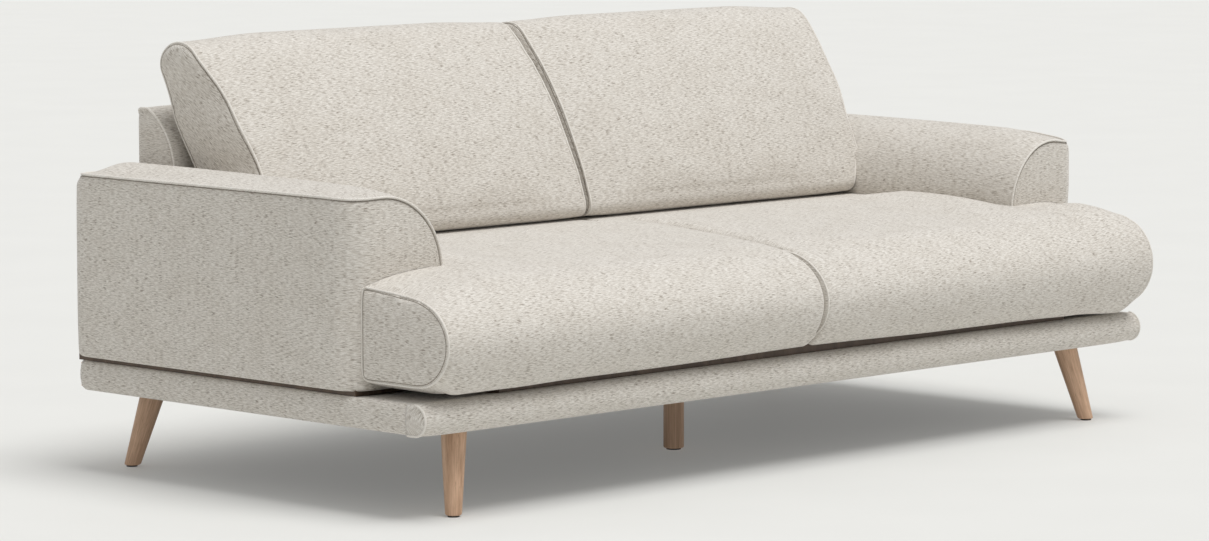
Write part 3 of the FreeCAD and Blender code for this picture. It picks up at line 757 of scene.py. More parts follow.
def seat_cushion():
    """A T-shaped pad: inside X from the middle of the sofa to the arm, and in front of the arm out to
    the end of the ear. It is blown up and then shaped by formula: its top falls towards the end of
    the ear, its front edge hangs over the deck's, it is lower under the back cushion, and it is
    pressed flat where it rests on the deck and meets the arm, the ear's back and its twin."""
    outline = seat_outline(SEAT_CROWN)
    small = shrunk(outline, SEAM_INSET)
    inner = SEAT_LOW.x + 0.005
    arm_side = ARM_LOW.x - 0.0008
    ear = ear_part(small)
    pad = remeshed(
        "seat_cushion_right",
        [prism(small, inner, arm_side - 0.004), prism(ear, arm_side - 0.15, EAR_END)],
        SEAT_MESH)
    ring = shrunk(seat_outline(SEAM_CROWN), SEAM_INSET)
    front = ear_part(ring)
    ear_seam = np.column_stack([np.full(len(front), EAR_END), front])
    middle_seam = np.column_stack([np.full(len(ring), inner), ring])
    rest_x = coordinates(pad.data)[:, 0]
    points = inflated(pad, [ear_seam, middle_seam], SEAT_SWELL, 0.011)
    x, y, z = points.T

    from_end = EAR_END - x
    fall = EAR_FALL * np.exp(-np.maximum(from_end, 0) / 0.07) - 0.0155 * ease((0.40 - from_end) / 0.20)
    fall = fall - 0.007 * (1 - ease((x - inner) / 0.07)) * ease((x - inner) / 0.012)
    z = z - fall * ease((z - NOSE_HEIGHT) / 0.10) * ease((y - SEAT_FRONT) / 0.12)
    x = domed(x, rest_x, inner, points, outline, -0.0035, 0.05)
    x = domed(x, rest_x, EAR_END, points, front, 0.006, 0.05)

    free = np.maximum(ease((DECK_EDGE - y) / 0.035), 0.6 * ease((x - DECK_SIDE) / 0.04))
    sag = NOSE_SAG * (0.72 + 0.38 * ease((x - 0.45) / 0.40)) * (0.15 + 0.85 * ease(from_end / 0.06))
    sag = sag * free * ease((NOSE_HEIGHT - z) / 0.075)
    on_deck = (y > DECK_EDGE) & (x < DECK_SIDE)
    z = np.where(on_deck, np.maximum(z, SEAT_BOTTOM + 0.0004), z - sag)
    z = np.maximum(z, NOSE_HIGH.z + 0.006)
    under_pillow = ease((y + 0.04) / 0.13)
    z = np.minimum(z, SEAT_CREST + 0.010 - (SEAT_CREST + 0.010 - PRESSED) * under_pillow)

    y = np.minimum(y, SEAT_REAR)
    x = np.maximum(x, 0.0008)
    behind = (y > ARM_LOW.y - 0.0006) & (x < arm_side + 0.03)
    x = np.where(behind, np.minimum(x, arm_side), x)
    in_ear = (x > arm_side) & ~behind
    y = np.where(in_ear, np.minimum(y, arm_front(x) - 0.0012), y)
    pad.data.vertices.foreach_set("co", np.column_stack([x, y, z]).ravel())
    subdivided(pad)
    weave_map(pad.data, outline, 0)
    dressed(pad, CHENILLE)

    ear_line = soften(on_surface(pad, even(ear_seam, PIPING_STEP, True), 0.0008), 5)
    middle_line = soften(on_surface(pad, even(middle_seam, PIPING_STEP, True), -0.0009), 5)
    middle_line[:, 0] = np.maximum(middle_line[:, 0], WELT + 0.0006)
    middle_welt = welt("seat_middle_piping_right", middle_line, PIPING_HIGHLIGHT, closed=True)
    return pad, piped(pad, "seat", [("ear", ear_line, 1)]) + [middle_welt]


def piped(pad, name, lines):
    """Piping along each line of a pad, in a cloth lightened as a painted highlight, and the sunk stitching on
    its end panel beside the piping, in a dark cord that is partly the stitching and partly painted shade of
    the seam. A line comes with the side of the pad that it is on, 1 or -1 along X."""
    made = []
    for place, line, side in lines:
        made.append(welt(name + "_" + place + "_piping_right", line, PIPING_HIGHLIGHT, closed=True))
        middle = line.mean(0)
        inward = middle - line
        inward[:, 0] = 0
        inward /= np.linalg.norm(inward, axis=1, keepdims=True)
        # the dark cord beside the piping: partly the stitching, partly painted shade of the seam
        stitch_shade_line = on_surface(pad, line + inward * STITCH_GAP + (side * 0.0036, 0, 0), 0.0)
        made.append(welt(name + "_" + place + "_stitching_right", stitch_shade_line, SEAM_SHADE_THREAD, True, STITCH))
    return made


def plump_ear(points):
    """Fills out a seat cushion's ear: it gets taller above and below its nose."""
    x, y, z = points.T
    weight = ease((x - 0.82) / 0.15) * (0.4 + 0.6 * ease((ARM_LOW.y - 0.01 - y) / 0.08))
    tall = (z - NOSE_HEIGHT) * np.where(z > NOSE_HEIGHT, 0.20, 0.07)
    return points + np.column_stack([0.003 * weight, 0 * y, tall * weight])


# Back cushions --------------------------------------------------------------------------------

PILLOW_BOTTOM = PILLOW_LOW.z
PILLOW_TOP = PILLOW_HIGH.z
PILLOW_FOOT = PRESSED + 0.0015   # it settles a little into the seat cushion
PILLOW_SWELL = 0.014         # how far the pad may be blown up
PILLOW_INSET = 0.004         # how far the unblown pad lies inside the outline
PILLOW_MESH = 0.0085         # spacing of the pad's points before it is blown up


def pillow_outline():
    """Side view of a back cushion, counter-clockwise from its bottom front: a flat foot, a bulged
    rear, a round top and a crowned front that leans back."""
    foot_front = (PILLOW_LOW.y + 0.030, PILLOW_FOOT)
    foot_rear = (PILLOW_LOW.y + 0.144, PILLOW_FOOT)
    foot = np.column_stack([np.linspace(foot_front[0], foot_rear[0], 10), np.full(10, PILLOW_FOOT)])
    heel_end = (PILLOW_LOW.y + 0.176, PILLOW_BOTTOM + 0.021)
    heel = arc_through(foot_rear, (PILLOW_LOW.y + 0.164, PILLOW_BOTTOM + 0.006), heel_end, 8)
    crown_rear = (PILLOW_HIGH.y - 0.003, PILLOW_TOP - 0.087)
    rear = arc_through(heel_end, (PILLOW_HIGH.y - 0.031, PILLOW_TOP - 0.183), crown_rear, 24)
    crown_front = (PILLOW_LOW.y + 0.202, PILLOW_TOP - 0.038)
    crown = arc_through(crown_rear, (PILLOW_HIGH.y - 0.058, PILLOW_TOP - 0.002), crown_front, 20)
    belly_end = (PILLOW_LOW.y + 0.002, PILLOW_FOOT + 0.024)
    belly = arc_through(crown_front, (PILLOW_LOW.y + 0.071, PILLOW_BOTTOM + 0.179), belly_end, 30)
    toe = arc_through(belly_end, (PILLOW_LOW.y + 0.010, PILLOW_FOOT + 0.007), foot_front, 8)
    return np.concatenate([foot[:-1], heel[:-1], rear[:-1], crown[:-1], belly[:-1], toe[:-1]])


def pillow_sides(z):
    """X of the seams at a back cushion's two ends, at a height: the gap to its twin opens upwards, and
    the outer end follows the arm's round shoulder and then swells over it."""
    rise = np.clip((z - PILLOW_BOTTOM) / (PILLOW_TOP - PILLOW_BOTTOM), 0, 1)
    inner = 0.007 + 0.007 * rise
    outer = 0.856 + 0.014 * ease((z - 0.60) / 0.10) + 0.019 * ease((z - 0.72) / 0.12)
    lift = np.clip(z - (ARM_SEAM - ARM_ROLL), 0, ARM_ROLL - 0.001)
    shoulder = ARM_LOW.x + ARM_ROLL - np.sqrt(ARM_ROLL ** 2 - lift ** 2)
    return inner, np.where(z < 0.605, np.minimum(outer, shoulder - 0.012), outer)


def back_cushion():
    """A pad with two end panels. It is made straight, its ends are moved to the splayed places, and it
    is blown up while the two end seams hold. Its top then falls towards the two ends, its inner end
    swells against its twin, and its foot is pressed flat."""
    outline = pillow_outline()
    small = shrunk(outline, PILLOW_INSET)
    width = ARM_LOW.x
    pad = remeshed("back_cushion_right", [prism(small, 0, width)], PILLOW_MESH)
    rest = coordinates(pad.data)
    rest_x = rest[:, 0].copy()
    inner, outer = pillow_sides(rest[:, 2])
    rest[:, 0] = inner + (outer - inner) * rest[:, 0] / width
    pad.data.vertices.foreach_set("co", rest.ravel())
    pad.data.update()
    inner, outer = pillow_sides(small[:, 1])
    inner_seam = np.column_stack([inner, small])
    outer_seam = np.column_stack([outer, small])
    points = inflated(pad, [inner_seam, outer_seam], PILLOW_SWELL, 0.010)
    x, y, z = points.T
    inner, outer = pillow_sides(z)
    fall = 0.006 * (1 - ease((x - inner) / 0.20)) + 0.010 * (1 - ease((outer - x) / 0.22))
    z = z - (0.003 + fall) * ease((z - PILLOW_TOP + 0.12) / 0.12)
    x = domed(x, rest_x, 0, points, outline, -1.0, 0.045)
    swell = inner - 0.0015
    on_inner = np.abs(rest_x) < 0.002
    x = np.where(on_inner, inner + (x - points[:, 0]) * swell, x)
    x = domed(x, rest_x, width, points, outline, 0.007, 0.075)
    z = np.maximum(z, PILLOW_FOOT - 0.001)
    x = np.maximum(x, 0.0015)
    pad.data.vertices.foreach_set("co", np.column_stack([x, y, z]).ravel())
    subdivided(pad)
    weave_map(pad.data, outline, 30)
    dressed(pad, CHENILLE)
    lines = []
    for name, line, side in (("inner", inner_seam, -1), ("outer", outer_seam, 1)):
        lines.append((name, soften(on_surface(pad, even(line, PIPING_STEP, True), 0.0008), 5), side))
    return pad, piped(pad, "back", lines)


# Arms -----------------------------------------------------------------------------------------

def arm_edge(count):
    """X and Z of the arm's front edge, from its outer side: level, then a quarter circle, then down
    to the deck."""
    centre = (ARM_LOW.x + ARM_ROLL, ARM_SEAM - ARM_ROLL)
    level = np.column_stack([np.linspace(ARM_HIGH.x, centre[0], 20), np.full(20, ARM_SEAM)])
    roll = arc(centre, ARM_ROLL, 90, 180, 40)
    drop = np.column_stack([np.full(20, ARM_LOW.x), np.linspace(centre[1], SEAT_BOTTOM, 20)])
    whole = np.concatenate([level[:-1], roll[:-1], drop])
    whole = np.column_stack([whole[:, 0], np.zeros(len(whole)), whole[:, 1]])
    run = np.concatenate([[0], np.cumsum(np.linalg.norm(np.diff(whole, axis=0), axis=1))])
    at = np.linspace(0, run[-1], count)
    return np.interp(at, run, whole[:, 0]), np.interp(at, run, whole[:, 2]), at


def arm_plan(count):
    """The arm's outline in plan, from the inner end of its front round both outer corners to the
    inner end of its rear, with its outward normals."""
    front, rear = ARM_LOW.y, ARM_HIGH.y
    corner_x = ARM_HIGH.x - ARM_CORNER
    roll_centre = ARM_LOW.x + ARM_ROLL
    lean = arc((roll_centre, 0), ARM_ROLL, 180, 90, 26)[:, 0]
    along_front = np.column_stack([lean, np.full(26, front)])
    rest_of_front = np.column_stack([np.linspace(roll_centre, corner_x, 5), np.full(5, front)])
    front_corner = arc((corner_x, front + ARM_CORNER), ARM_CORNER, -90, 0, 14)
    along = np.linspace(front + ARM_CORNER, rear - ARM_CORNER, count)
    side = np.column_stack([np.full(count, ARM_HIGH.x), along])
    rear_corner = arc((corner_x, rear - ARM_CORNER), ARM_CORNER, 0, 90, 14)
    along_rear = np.column_stack([np.linspace(corner_x, BACK_HIGH.x, 12), np.full(12, rear)])
    parts = (along_front, rest_of_front, front_corner, side, rear_corner)
    plan = np.concatenate([part[:-1] for part in parts] + [along_rear])
    ahead = np.gradient(plan, axis=0)
    ahead /= np.linalg.norm(ahead, axis=1, keepdims=True)
    return plan, np.column_stack([ahead[:, 1], -ahead[:, 0]])


def rear_drop(y):
    """How far the arm's top falls towards its rear end."""
    return 0.004 * ease((y - (ARM_HIGH.y - 0.085)) / 0.085) ** 2


def eased_corners(points):
    """Leans the arm's two outer corners inwards near the top, the rear one more than the front one."""
    x, y, z = points[..., 0], points[..., 1], points[..., 2]
    high = ease((z - (ARM_SEAM - 0.024)) / 0.034)
    rear = high * ease((y - (ARM_HIGH.y - 0.080)) / 0.080)
    front = high * ease((ARM_LOW.y + 0.060 - y) / 0.060) * ease((x - (ARM_HIGH.x - 0.080)) / 0.080)
    return points + np.stack([-0.013 * rear - 0.006 * front, -0.011 * rear + 0.002 * front, 0 * z], -1)


def corner_drop(x, y):
    """How far the arm's top falls round its outer front corner."""
    near = np.hypot(np.maximum(ARM_HIGH.x - x, 0), np.maximum(y - ARM_LOW.y, 0))
    return 0.003 * (1 - ease(near / 0.085)) ** 1.5


def seam_height(plan):
    """Height of the arm's piped edge over each point of its plan."""
    across = np.clip(ARM_LOW.x + ARM_ROLL - plan[:, 0], 0, ARM_ROLL)
    height = ARM_SEAM - ARM_ROLL + np.sqrt(ARM_ROLL ** 2 - across ** 2)
    height = np.where(plan[:, 1] < ARM_LOW.y + 1e-6, height, ARM_SEAM - rear_drop(plan[:, 1]))
    return height - corner_drop(plan[:, 0], plan[:, 1])


def soft_shoulder(points):
    """Lowers an arm's outer front corner and draws it in, as on a more worn or softer arm."""
    x, y, z = points.T
    near = 1 - ease(np.hypot(ARM_HIGH.x - x, y - ARM_LOW.y) / 0.17)
    lean = near * ease((z - (ARM_SEAM - 0.014)) / 0.020)
    drop = near * ease((z - (ARM_SEAM - 0.060)) / 0.060)
    return points + np.column_stack([-0.005 * lean, 0.002 * lean, -0.012 * drop])


def arm_top_sheet():
    """The arm's top and inner side in one panel. Its front edge is the arm's front edge; behind that it
    swells outwards, most along the crest, with an exponential rise that starts steeply at the seam
    and goes on slowly. Near its outer edge it is drawn in along the rounded corners of the plan."""
    x, z, run = arm_edge(66)
    depth = ARM_DEPTH * (1 - np.cos(np.linspace(0, math.pi, 90))) / 2
    tangent = np.column_stack([np.gradient(x, run), np.gradient(z, run)])
    out = np.column_stack([-tangent[:, 1], tangent[:, 0]])
    out *= np.sign(out[0, 1]) if out[0, 1] else 1
    crest = ease(run / 0.100) * (1 - 0.55 * ease((run - 0.15) / 0.15)) * (1 - ease((run - 0.27) / 0.07))
    from_end = np.minimum(depth, ARM_DEPTH - depth)
    rise = 0.011 * (1 - np.exp(-from_end / 0.030))
    rise = rise + 0.012 * (1 - np.exp(-depth / 0.30)) * ease(from_end / 0.09)
    swell = rise[:, None] * crest[None]
    inset = np.clip(ARM_CORNER - from_end, 0, ARM_CORNER)
    edge = ARM_HIGH.x - ARM_CORNER + np.sqrt(ARM_CORNER ** 2 - inset ** 2)
    start = ARM_HIGH.x - ARM_CORNER
    share = np.clip((x - start) / ARM_CORNER, 0, 1)
    px = np.where(x[None] > start, start + share[None] * (edge[:, None] - start), x[None])
    fall = rear_drop(ARM_LOW.y + depth)[:, None] * ease((z[None] - 0.45) / 0.1)
    fall = fall + corner_drop(px, ARM_LOW.y + depth[:, None])
    points = np.stack([
        px + swell * out[None, :, 0],
        np.broadcast_to(ARM_LOW.y + depth[:, None], px.shape),
        z[None] + swell * out[None, :, 1] - fall], 2)
    return eased_corners(points)


def arm_outer_sheet():
    """The arm's front, outer side and rear in one panel: the plan carried up from the hem, which is
    turned in under the arm, to the piped edge, and slightly pillowed by a fourth power of height."""
    plan, normal = arm_plan(60)
    top = seam_height(plan)
    turn = np.linspace(0, math.pi / 2, 6)
    rows = [(-0.026, 0.0), (-0.014, 0.0)]
    rows += [(-HEM * (1 - math.sin(a)), HEM * (1 - math.cos(a))) for a in turn]
    climb = (1 - np.cos(np.linspace(0, math.pi, 44))) / 2
    sheet = []
    for offset, height in rows:
        sheet.append(np.column_stack([plan + normal * offset, np.full(len(plan), ARM_LOW.z + height)]))
    inner_front = ease((plan[:, 0] - ARM_LOW.x) / 0.05)
    low = ARM_LOW.z + HEM
    for t in climb[1:]:
        height = low + t * (top - low)
        behind_ear = (plan[:, 1] < ARM_LOW.y + 0.04) * (1 - ease((height - 0.44) / 0.05))
        bulge = 0.0018 * (1 - (2 * t - 1) ** 4) * inner_front * (1 - behind_ear)
        bulge = bulge - 0.0015 * ease((t - 0.97) / 0.03)
        sheet.append(np.column_stack([plan + normal * bulge[:, None], height]))
    return eased_corners(np.stack(sheet))


def arm():
    """An arm's two panels as one shell, its piping along the edge between them and down the inner end
    of the front, in a cloth lightened as a painted highlight, and the sunk stitching below the piping, a
    dark cord that is partly the stitching and partly painted shade of the seam."""
    top = arm_top_sheet()
    outer = arm_outer_sheet()
    middle = ((ARM_LOW.x + ARM_HIGH.x) / 2, (ARM_LOW.y + ARM_HIGH.y) / 2, 0.42)
    skin = piece("arm_right", [(top, True), (outer, False)], CHENILLE, middle)
    plan, normal = arm_plan(60)
    height = seam_height(plan)
    seam = np.column_stack([plan + normal * 0.0004, height + 0.0004])
    drop = np.column_stack([
        np.full(10, ARM_LOW.x), np.full(10, ARM_LOW.y), np.linspace(SEAT_BOTTOM, height[0], 10)])
    line = np.concatenate([drop[:-1], seam])
    normals = np.concatenate([np.tile([0.0, -1.0], (9, 1)), normal])
    sunk = line.copy()
    sunk[:, :2] -= normals * 0.0004
    flat = line[:, 1] < ARM_LOW.y + 0.001
    roll = np.clip((ARM_LOW.x + ARM_ROLL - line[:, 0]) / ARM_ROLL, 0, 1)
    sunk[:, 0] += np.where(flat, roll * STITCH_GAP, 0)
    sunk[:, 2] -= np.where(flat, np.sqrt(1 - roll ** 2) * STITCH_GAP, STITCH_GAP)
    piping = welt("arm_piping_right", eased_corners(line), PIPING_HIGHLIGHT)
    # dark cord below the piping: partly the stitching, partly painted shade of the seam
    stitching = welt("arm_stitching_right", eased_corners(sunk), SEAM_SHADE_THREAD, radius=STITCH)
    return backed(skin), [piping, stitching]


# Back -----------------------------------------------------------------------------------------

def back_profile():
    """Y and Z of the back's skin from its front foot over the top to its rear hem: upright, an arc
    that leans back, level, a rounded rim, upright, and a rounded hem."""
    edge = 0.028
    far, high = BACK_HIGH.y, BACK_HIGH.z
    front = np.column_stack([np.full(14, BACK_LOW.y), np.linspace(0.30, 0.590, 14)])
    bend = arc_through((BACK_LOW.y, 0.590), (BACK_LOW.y + 0.030, 0.668), (far - 0.045, high), 22)
    flat = np.column_stack([np.linspace(far - 0.045, far - edge, 4), np.full(4, high)])
    rim = arc((far - edge, high - edge), edge, 90, 0, 14)
    rear = np.column_stack([np.full(34, far), np.linspace(high - edge, BACK_LOW.z + HEM, 34)])
    hem = arc((far - HEM, BACK_LOW.z + HEM), HEM, 0, -90, 6)
    under = np.column_stack([np.linspace(far - HEM, far - 0.02, 3), np.full(3, BACK_LOW.z)])
    return np.concatenate([front[:-1], bend[:-1], flat[:-1], rim[:-1], rear[:-1], hem[:-1], under])


def back_half(y):
    """Half the back's width at a depth: its upright rear corners are rounded."""
    radius = 0.030
    past = np.clip(y - (BACK_HIGH.y - radius), 0, radius)
    return BACK_HIGH.x - radius + np.sqrt(radius ** 2 - past ** 2)


def low_back():
    """The back's front, top and rear in one panel, a little proud between its seams, and two end
    panels that join its front and rear edges at every height."""
    profile = back_profile()
    ahead = np.gradient(profile, axis=0)
    ahead /= np.linalg.norm(ahead, axis=1, keepdims=True)
    out = np.column_stack([-ahead[:, 1], ahead[:, 0]])
    share = np.sin(np.linspace(-math.pi / 2, math.pi / 2, 80))
    proud = 0.004 * (1 - np.abs(share) ** 10)
    wrap = np.stack([
        share[:, None] * back_half(profile[:, 0])[None],
        profile[None, :, 0] + proud[:, None] * out[None, :, 0],
        profile[None, :, 1] + proud[:, None] * out[None, :, 1]], 2)
    sheets = [(np.transpose(wrap, (1, 0, 2)), False)]
    high = profile[:, 1].argmax()
    rounding = 0.66 + 0.048 * np.sin(np.linspace(0, math.pi / 2, 16))
    z = np.concatenate([np.linspace(BACK_LOW.z + HEM, 0.66, 20)[:-1], rounding])
    z = np.minimum(z, BACK_HIGH.z - 1e-5)
    near = np.interp(z, profile[:high + 1, 1], profile[:high + 1, 0])
    far = np.interp(z, profile[high + 3:, 1][::-1], profile[high + 3:, 0][::-1])
    t = np.sin(np.linspace(0, math.pi / 2, 24))
    y = near[:, None] * (1 - t) + far[:, None] * t
    dome = 0.004 * np.sin(math.pi * t)[None] * ease((BACK_HIGH.z - z) / 0.04)[:, None]
    for side in (1, -1):
        end = np.stack([side * (back_half(y) + dome), y, np.broadcast_to(z[:, None], y.shape)], 2)
        sheets.append((end, False))
    skin = piece("back_upholstery", sheets, CHENILLE, (0, 0.47, 0.45))
    line = profile[(profile[:, 1] > 0.42)]
    piping = [
        welt("back_piping_" + name, np.column_stack([side * back_half(line[:, 0]), line]), PIPING_HIGHLIGHT)
        for name, side in (("right", 1), ("left", -1))]
    return backed(skin), piping


# Platform -------------------------------------------------------------------------------------

def platform():
    """Front: a half-round nose carried along X, with a top that reaches back to the arms. Sides and
    rear: a lip, a softly rounded wall and a lip below, carried round the rear corners. Two rounded
    end panels close the nose."""
    low, high = NOSE_LOW.z, NOSE_HIGH.z
    round_radius = (high - low) / 2
    middle = (low + high) / 2
    half = NOSE_HIGH.x
    front = NOSE_LOW.y
    lip = NOSE_HIGH.y
    shelf = ARM_LOW.y + 0.012
    above = np.column_stack([np.linspace(shelf, front + round_radius, 8), np.full(8, high)])
    nose = arc((front + round_radius, middle), round_radius, 90, 270, 30)
    below = np.column_stack([np.linspace(front + round_radius, lip, 5), np.full(5, low)])
    profile = np.concatenate([above[:-1], nose, below[1:]])
    x = half * np.sin(np.linspace(-math.pi / 2, math.pi / 2, 90))
    ease_in = 1 - np.abs(x / half) ** 30
    direction = profile - (front + round_radius + 0.02, middle)
    direction /= np.linalg.norm(direction, axis=1, keepdims=True)
    is_nose = (profile[:, 0] < front + round_radius + 0.001).astype(float)
    proud = 0.0035 * ease_in[:, None] * is_nose[None]
    inset = 1 - 0.006 / half * ease((profile[:, 0] - lip + 0.012) / 0.012)
    wrap = np.stack([
        x[:, None] * inset[None],
        profile[None, :, 0] + proud * direction[None, :, 0],
        profile[None, :, 1] + proud * direction[None, :, 1]], 2)
    sheets = [(np.transpose(wrap, (1, 0, 2)), False)]

    depth = round_radius * (1 - np.cos(np.linspace(0, math.pi / 2, 14)))
    tall = np.sqrt(np.maximum(round_radius ** 2 - (round_radius - depth) ** 2, 0))
    y = np.concatenate([front + depth, np.linspace(front + round_radius, lip, 5)[1:]])
    tall = np.concatenate([tall, np.full(4, round_radius)])
    t = np.linspace(-1, 1, 16)
    z = middle + tall[:, None] * t
    dome = 0.0045 * (1 - t[None] ** 2) * ease((y - front) / 0.03)[:, None]
    for side in (1, -1):
        end = np.stack([side * (half + dome), np.broadcast_to(y[:, None], z.shape), z], 2)
        sheets.append((end, False))

    corner = 0.050
    rear = PLATFORM_REAR
    right = np.column_stack([np.full(40, half), np.linspace(lip, rear - corner, 40)])
    bend = arc((half - corner, rear - corner), corner, 0, 90, 14)
    across = np.column_stack([np.linspace(half - corner, 0, 40), np.full(40, rear)])
    plan = np.concatenate([right[:-1], bend[:-1], across])
    plan = np.concatenate([plan[:-1], (plan * (-1, 1))[::-1]])
    ahead = np.gradient(plan, axis=0)
    ahead /= np.linalg.norm(ahead, axis=1, keepdims=True)
    out = np.column_stack([ahead[:, 1], -ahead[:, 0]])
    section = [(-0.042, low), (-0.012, low)]
    wall = np.linspace(-1, 1, 14)
    section += [(0.0045 * (1 - w ** 2) - 0.004 * abs(w) ** 9, middle + round_radius * w) for w in wall]
    section += [(-0.012, high - 0.0012), (-0.042, high - 0.0012)]
    rows = [np.column_stack([plan + out * offset, np.full(len(plan), z)]) for offset, z in section]
    sheets.append((np.stack(rows), False))
    skin = piece("platform_upholstery", sheets, CHENILLE, (0, 0, middle))
    loop = profile[7:]
    piping = [
        welt("platform_piping_" + name, np.column_stack([np.full(len(loop), x), loop]), PIPING_HIGHLIGHT)
        for name, x in (("right", half + 0.0005), ("left", -half - 0.0005))]
    return backed(skin, 0.002), piping


# Legs -----------------------------------------------------------------------------------------

def turned_leg(name, node, foot, head, radii, sides=48):
    """A turned leg along a slanted axis: the radius grows straight from foot to head, with a rounded
    rim at the foot. Its ends are cut level. Each vertex keeps its place in the timber, with Z along
    the leg."""
    foot, head = np.array(foot), np.array(head)
    axis = head - foot
    length = np.linalg.norm(axis)
    axis = axis / length
    side = np.cross(axis, [0.0, 1.0, 0.0])
    side /= np.linalg.norm(side)
    other = np.cross(axis, side)
    rim = 0.0035
    steps = [(0.0, 0.0), (0.0, 0.5), (0.0, 1 - rim / radii[0])]
    turn = np.linspace(0, math.pi / 2, 6)[1:]
    steps += [(rim * (1 - math.cos(a)), 1 - rim / radii[0] * (1 - math.sin(a))) for a in turn]
    steps += [(rim + (length - rim) * t, 1.0) for t in np.linspace(0, 1, 24)[1:]]
    steps += [(length, 0.5), (length, 0.0)]
    angle = np.linspace(0, 2 * math.pi, sides, endpoint=False)
    cos, sin = np.cos(angle), np.sin(angle)
    ring = cos[:, None] * side + sin[:, None] * other
    heights = np.array([height for height, share in steps])
    places, timber = [], []
    for height, share in steps:
        radius = share * (radii[0] + (radii[1] - radii[0]) * height / length)
        places.append(foot + axis * height + ring * radius)
        timber.append(np.column_stack([cos * radius, sin * radius, np.full(sides, height)]))
    points = np.stack(places)
    drift = (points - (foot + axis * heights[:, None, None])) @ axis
    points = points - drift[..., None] * axis
    level = points[..., 2] - (foot[2] + axis[2] * heights)[:, None]
    points = points - (level / axis[2])[..., None] * axis
    faces = lattice(len(steps), sides, False, True)
    obj = finished(name, points.reshape(-1, 3), faces, None, OAK)
    grain = obj.data.attributes.new("grain", "FLOAT_VECTOR", "POINT")
    grain.data.foreach_set("vector", (np.concatenate(timber) + foot * 7).astype(np.float32).ravel())
    weld = bmesh.new()
    weld.from_mesh(obj.data)
    bmesh.ops.remove_doubles(weld, verts=weld.verts, dist=1e-6)
    bmesh.ops.recalc_face_normals(weld, faces=weld.faces)
    weld.to_mesh(obj.data)
    weld.free()
    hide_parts(node)
    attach(obj, "frame")
    return obj


def legs():
    """Four splayed legs, whose feet are at the outer corners of their CAD boxes, and a straight one."""
    for name in ("leg_front_right", "leg_front_left", "leg_rear_right", "leg_rear_left"):
        low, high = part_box(name)
        side = 1 if name.endswith("right") else -1
        end = -1 if "front" in name else 1
        outer_x = high.x if side > 0 else low.x
        outer_y = low.y if end < 0 else high.y
        foot_radius, head_radius, splay = 0.0157, 0.0252, 0.034
        foot = (outer_x - side * foot_radius, outer_y - end * foot_radius, low.z)
        head = (foot[0] - side * splay, foot[1] - end * splay, high.z)
        turned_leg(name + "_turned", name, foot, head, (foot_radius, head_radius))
    low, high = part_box("leg_centre")
    centre = ((low.x + high.x) / 2, (low.y + high.y) / 2)
    radius = (high.x - low.x) / 2
    turned_leg("leg_centre_turned", "leg_centre", (*centre, low.z), (*centre, high.z), (radius, radius))


# The hidden and hard pieces keep their CAD shapes ---------------------------------------------

def finish_frame():
    """Gives every CAD node that stays in view its own finish."""
    finishes = {
        "frame_timber": wood_material("Planed pine", Early=linear(222, 190, 146), Late=linear(196, 154, 106)),
        # rails seen in the shadow gap under the arms and seat, given that gap's dark brown: painted shade,
        # not a stain
        "dark_timber": wood_material("Stained plinth", Early=linear(104, 86, 71), Late=linear(80, 65, 53)),
        "plywood": wood_material("Plywood", Early=linear(208, 172, 128), Late=linear(176, 138, 98)),
        "zinc_steel": metal_material("Zinc plate", linear(190, 191, 190)),
        "spring_steel": metal_material("Oiled spring wire", linear(96, 98, 104)),
        "zip_metal": metal_material("Zip pull", linear(182, 180, 176)),
        "foam": grainy_material("Cut foam", linear(214, 206, 170), linear(236, 230, 202), 900),
        "lining": grainy_material(
            "Spun lining", linear(30, 28, 27), linear(54, 51, 48), 700, stretch=(1, 3, 1)),
        "zip_tape": grainy_material(
            "Zip tape", linear(176, 169, 159), linear(206, 200, 191), 800, stretch=(1, 1, 4)),
        "black_plastic": grainy_material("Moulded glide", linear(20, 20, 21), linear(38, 38, 40), 600, 0.5),
    }
    slots = {part["node"]: part["material_slot"] for part in frame["record"]["subparts"]}
    for node, obj in frame["nodes"].items():
        finish = finishes.get(slots[node])
        if finish:
            obj.data.materials.clear()
            obj.data.materials.append(finish)


# Put together ---------------------------------------------------------------------------------

def both_sides(obj, body, fill=None, *replaced):
    """Rides a right-hand piece and its mirror image on their bodies, and hides the CAD parts that they
    replace.
    """
    twin = mirror_image(obj, obj.name.replace("right", "left"))
    for made, side in ((obj, "right"), (twin, "left")):
        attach(made, body.format(side=side))
        if replaced:
            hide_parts(*[node.format(side=side) for node in replaced])


def reshaped(obj, change):
    """Changes one side only, once its twin is made."""
    obj.data.vertices.foreach_set("co", change(coordinates(obj.data)).ravel())
    obj.data.update()


def upholstered(made, body, fill, *replaced):
    """Both halves of a pad or skin and of the piping on it. Gives the right half's pieces."""
    skin, welts = made
    both_sides(skin, body, fill, *replaced)
    for line in welts:
        both_sides(line, body)
    return skin, *welts


for part in upholstered(
        seat_cushion(), "seat_cushion_{side}", 0.8,
        "seat_cushion_cover_{side}", "seat_cushion_core_{side}"):
    reshaped(part, plump_ear)
upholstered(
    back_cushion(), "back_cushion_{side}", 0.75,
    "back_cushion_cover_{side}", "back_cushion_core_{side}")
for part in upholstered(arm(), "frame", 0.9, "arm_cover_{side}"):
    reshaped(part, soft_shoulder)

strips = ["platform_cover_" + side for side in ("front", "rear", "left", "right")]
for (skin, welts), replaced in ((low_back(), ["back_cover"]), (platform(), strips)):
    for made in (skin, *welts):
        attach(made, "frame")
    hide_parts(*replaced)

legs()
finish_frame()


# Floor, light and camera ----------------------------------------------------------------------

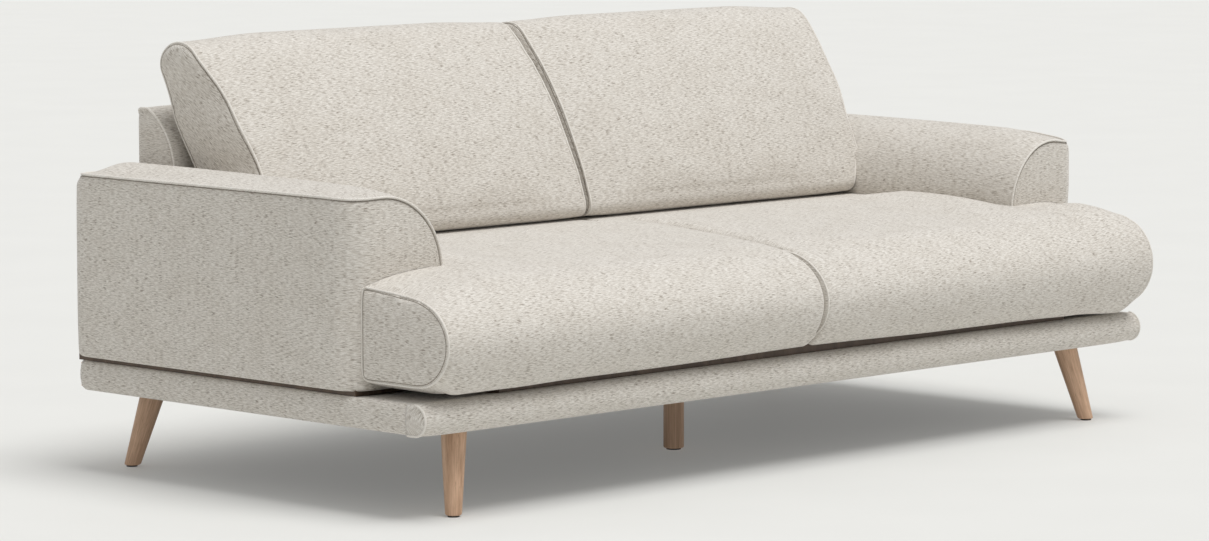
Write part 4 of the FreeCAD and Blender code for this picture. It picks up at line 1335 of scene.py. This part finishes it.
def floor():
    """A pale sweep that is partly its own light, so that it stays even and still takes shadows."""
    made, nodes, shader = material("Pale floor", 0.6)
    place = nodes.add("ShaderNodeTexCoord").outputs["Object"]
    cloud = nodes.noise(place, 3.0, 2.0)
    tone = nodes.ramp(cloud, [(0.3, linear(204, 204, 201)), (0.7, linear(206, 206, 203))])
    nodes.link(tone, shader.inputs["Base Color"])
    shader.inputs["Specular IOR Level"].default_value = 0.05
    shader.inputs["Emission Color"].default_value = (1.0, 0.995, 0.96, 1.0)
    shader.inputs["Emission Strength"].default_value = 0.165
    size = 40.0
    x, y = np.meshgrid(np.linspace(-size, size, 5), np.linspace(-size, size, 5))
    points = np.stack([x, y, np.zeros_like(x)], 2)
    ground = piece("floor", [(points, False)], made, (0, 0, -1))


def studio(sky, backdrop):
    """An even pale surround: sky is how strongly it lights the sofa, and backdrop is how it looks."""
    world = bpy.data.worlds.new("Studio")
    world.use_nodes = True
    nodes = Nodes(world.node_tree)
    lit = world.node_tree.nodes["Background"]
    lit.inputs[0].default_value = (1.0, 1.0, 1.0, 1.0)
    lit.inputs[1].default_value = sky
    seen = nodes.add("ShaderNodeBackground")
    seen.inputs[0].default_value = backdrop
    choice = nodes.add("ShaderNodeMixShader")
    nodes.link(nodes.add("ShaderNodeLightPath").outputs["Is Camera Ray"], choice.inputs[0])
    nodes.link(lit.outputs[0], choice.inputs[1])
    nodes.link(seen.outputs[0], choice.inputs[2])
    nodes.link(choice.outputs[0], world.node_tree.nodes["World Output"].inputs[0])
    bpy.context.scene.world = world


def sun(name, toward, power, softness):
    """A very broad light from the direction toward, with its apparent size in degrees."""
    light = bpy.data.lights.new(name, "SUN")
    light.energy = power
    light.angle = math.radians(softness)
    obj = bpy.data.objects.new(name, light)
    obj.location = Vector(toward) * 5
    obj.rotation_euler = Vector(toward).to_track_quat("Z", "Y").to_euler()
    bpy.context.scene.collection.objects.link(obj)


def camera():
    """A long lens from the front left, a little above the seat, level across."""
    lens = bpy.data.cameras.new("Camera")
    lens.sensor_width = 36.0
    lens.lens = 148.6
    lens.clip_end = 200
    obj = bpy.data.objects.new("Camera", lens)
    yaw, pitch = math.radians(45.5), math.radians(6.1)
    obj.location = (-7.2522, -7.0400, 1.4360)
    obj.rotation_euler = (math.pi / 2 - pitch, 0, -yaw)
    bpy.context.scene.collection.objects.link(obj)
    bpy.context.scene.camera = obj


floor()
camera()
studio(sky=0.46, backdrop=linear(238, 238, 234))
sun("Soft key", (0.08, -0.33, 1.0), 2.22, 38)
bpy.context.scene.view_settings.view_transform = "Standard"
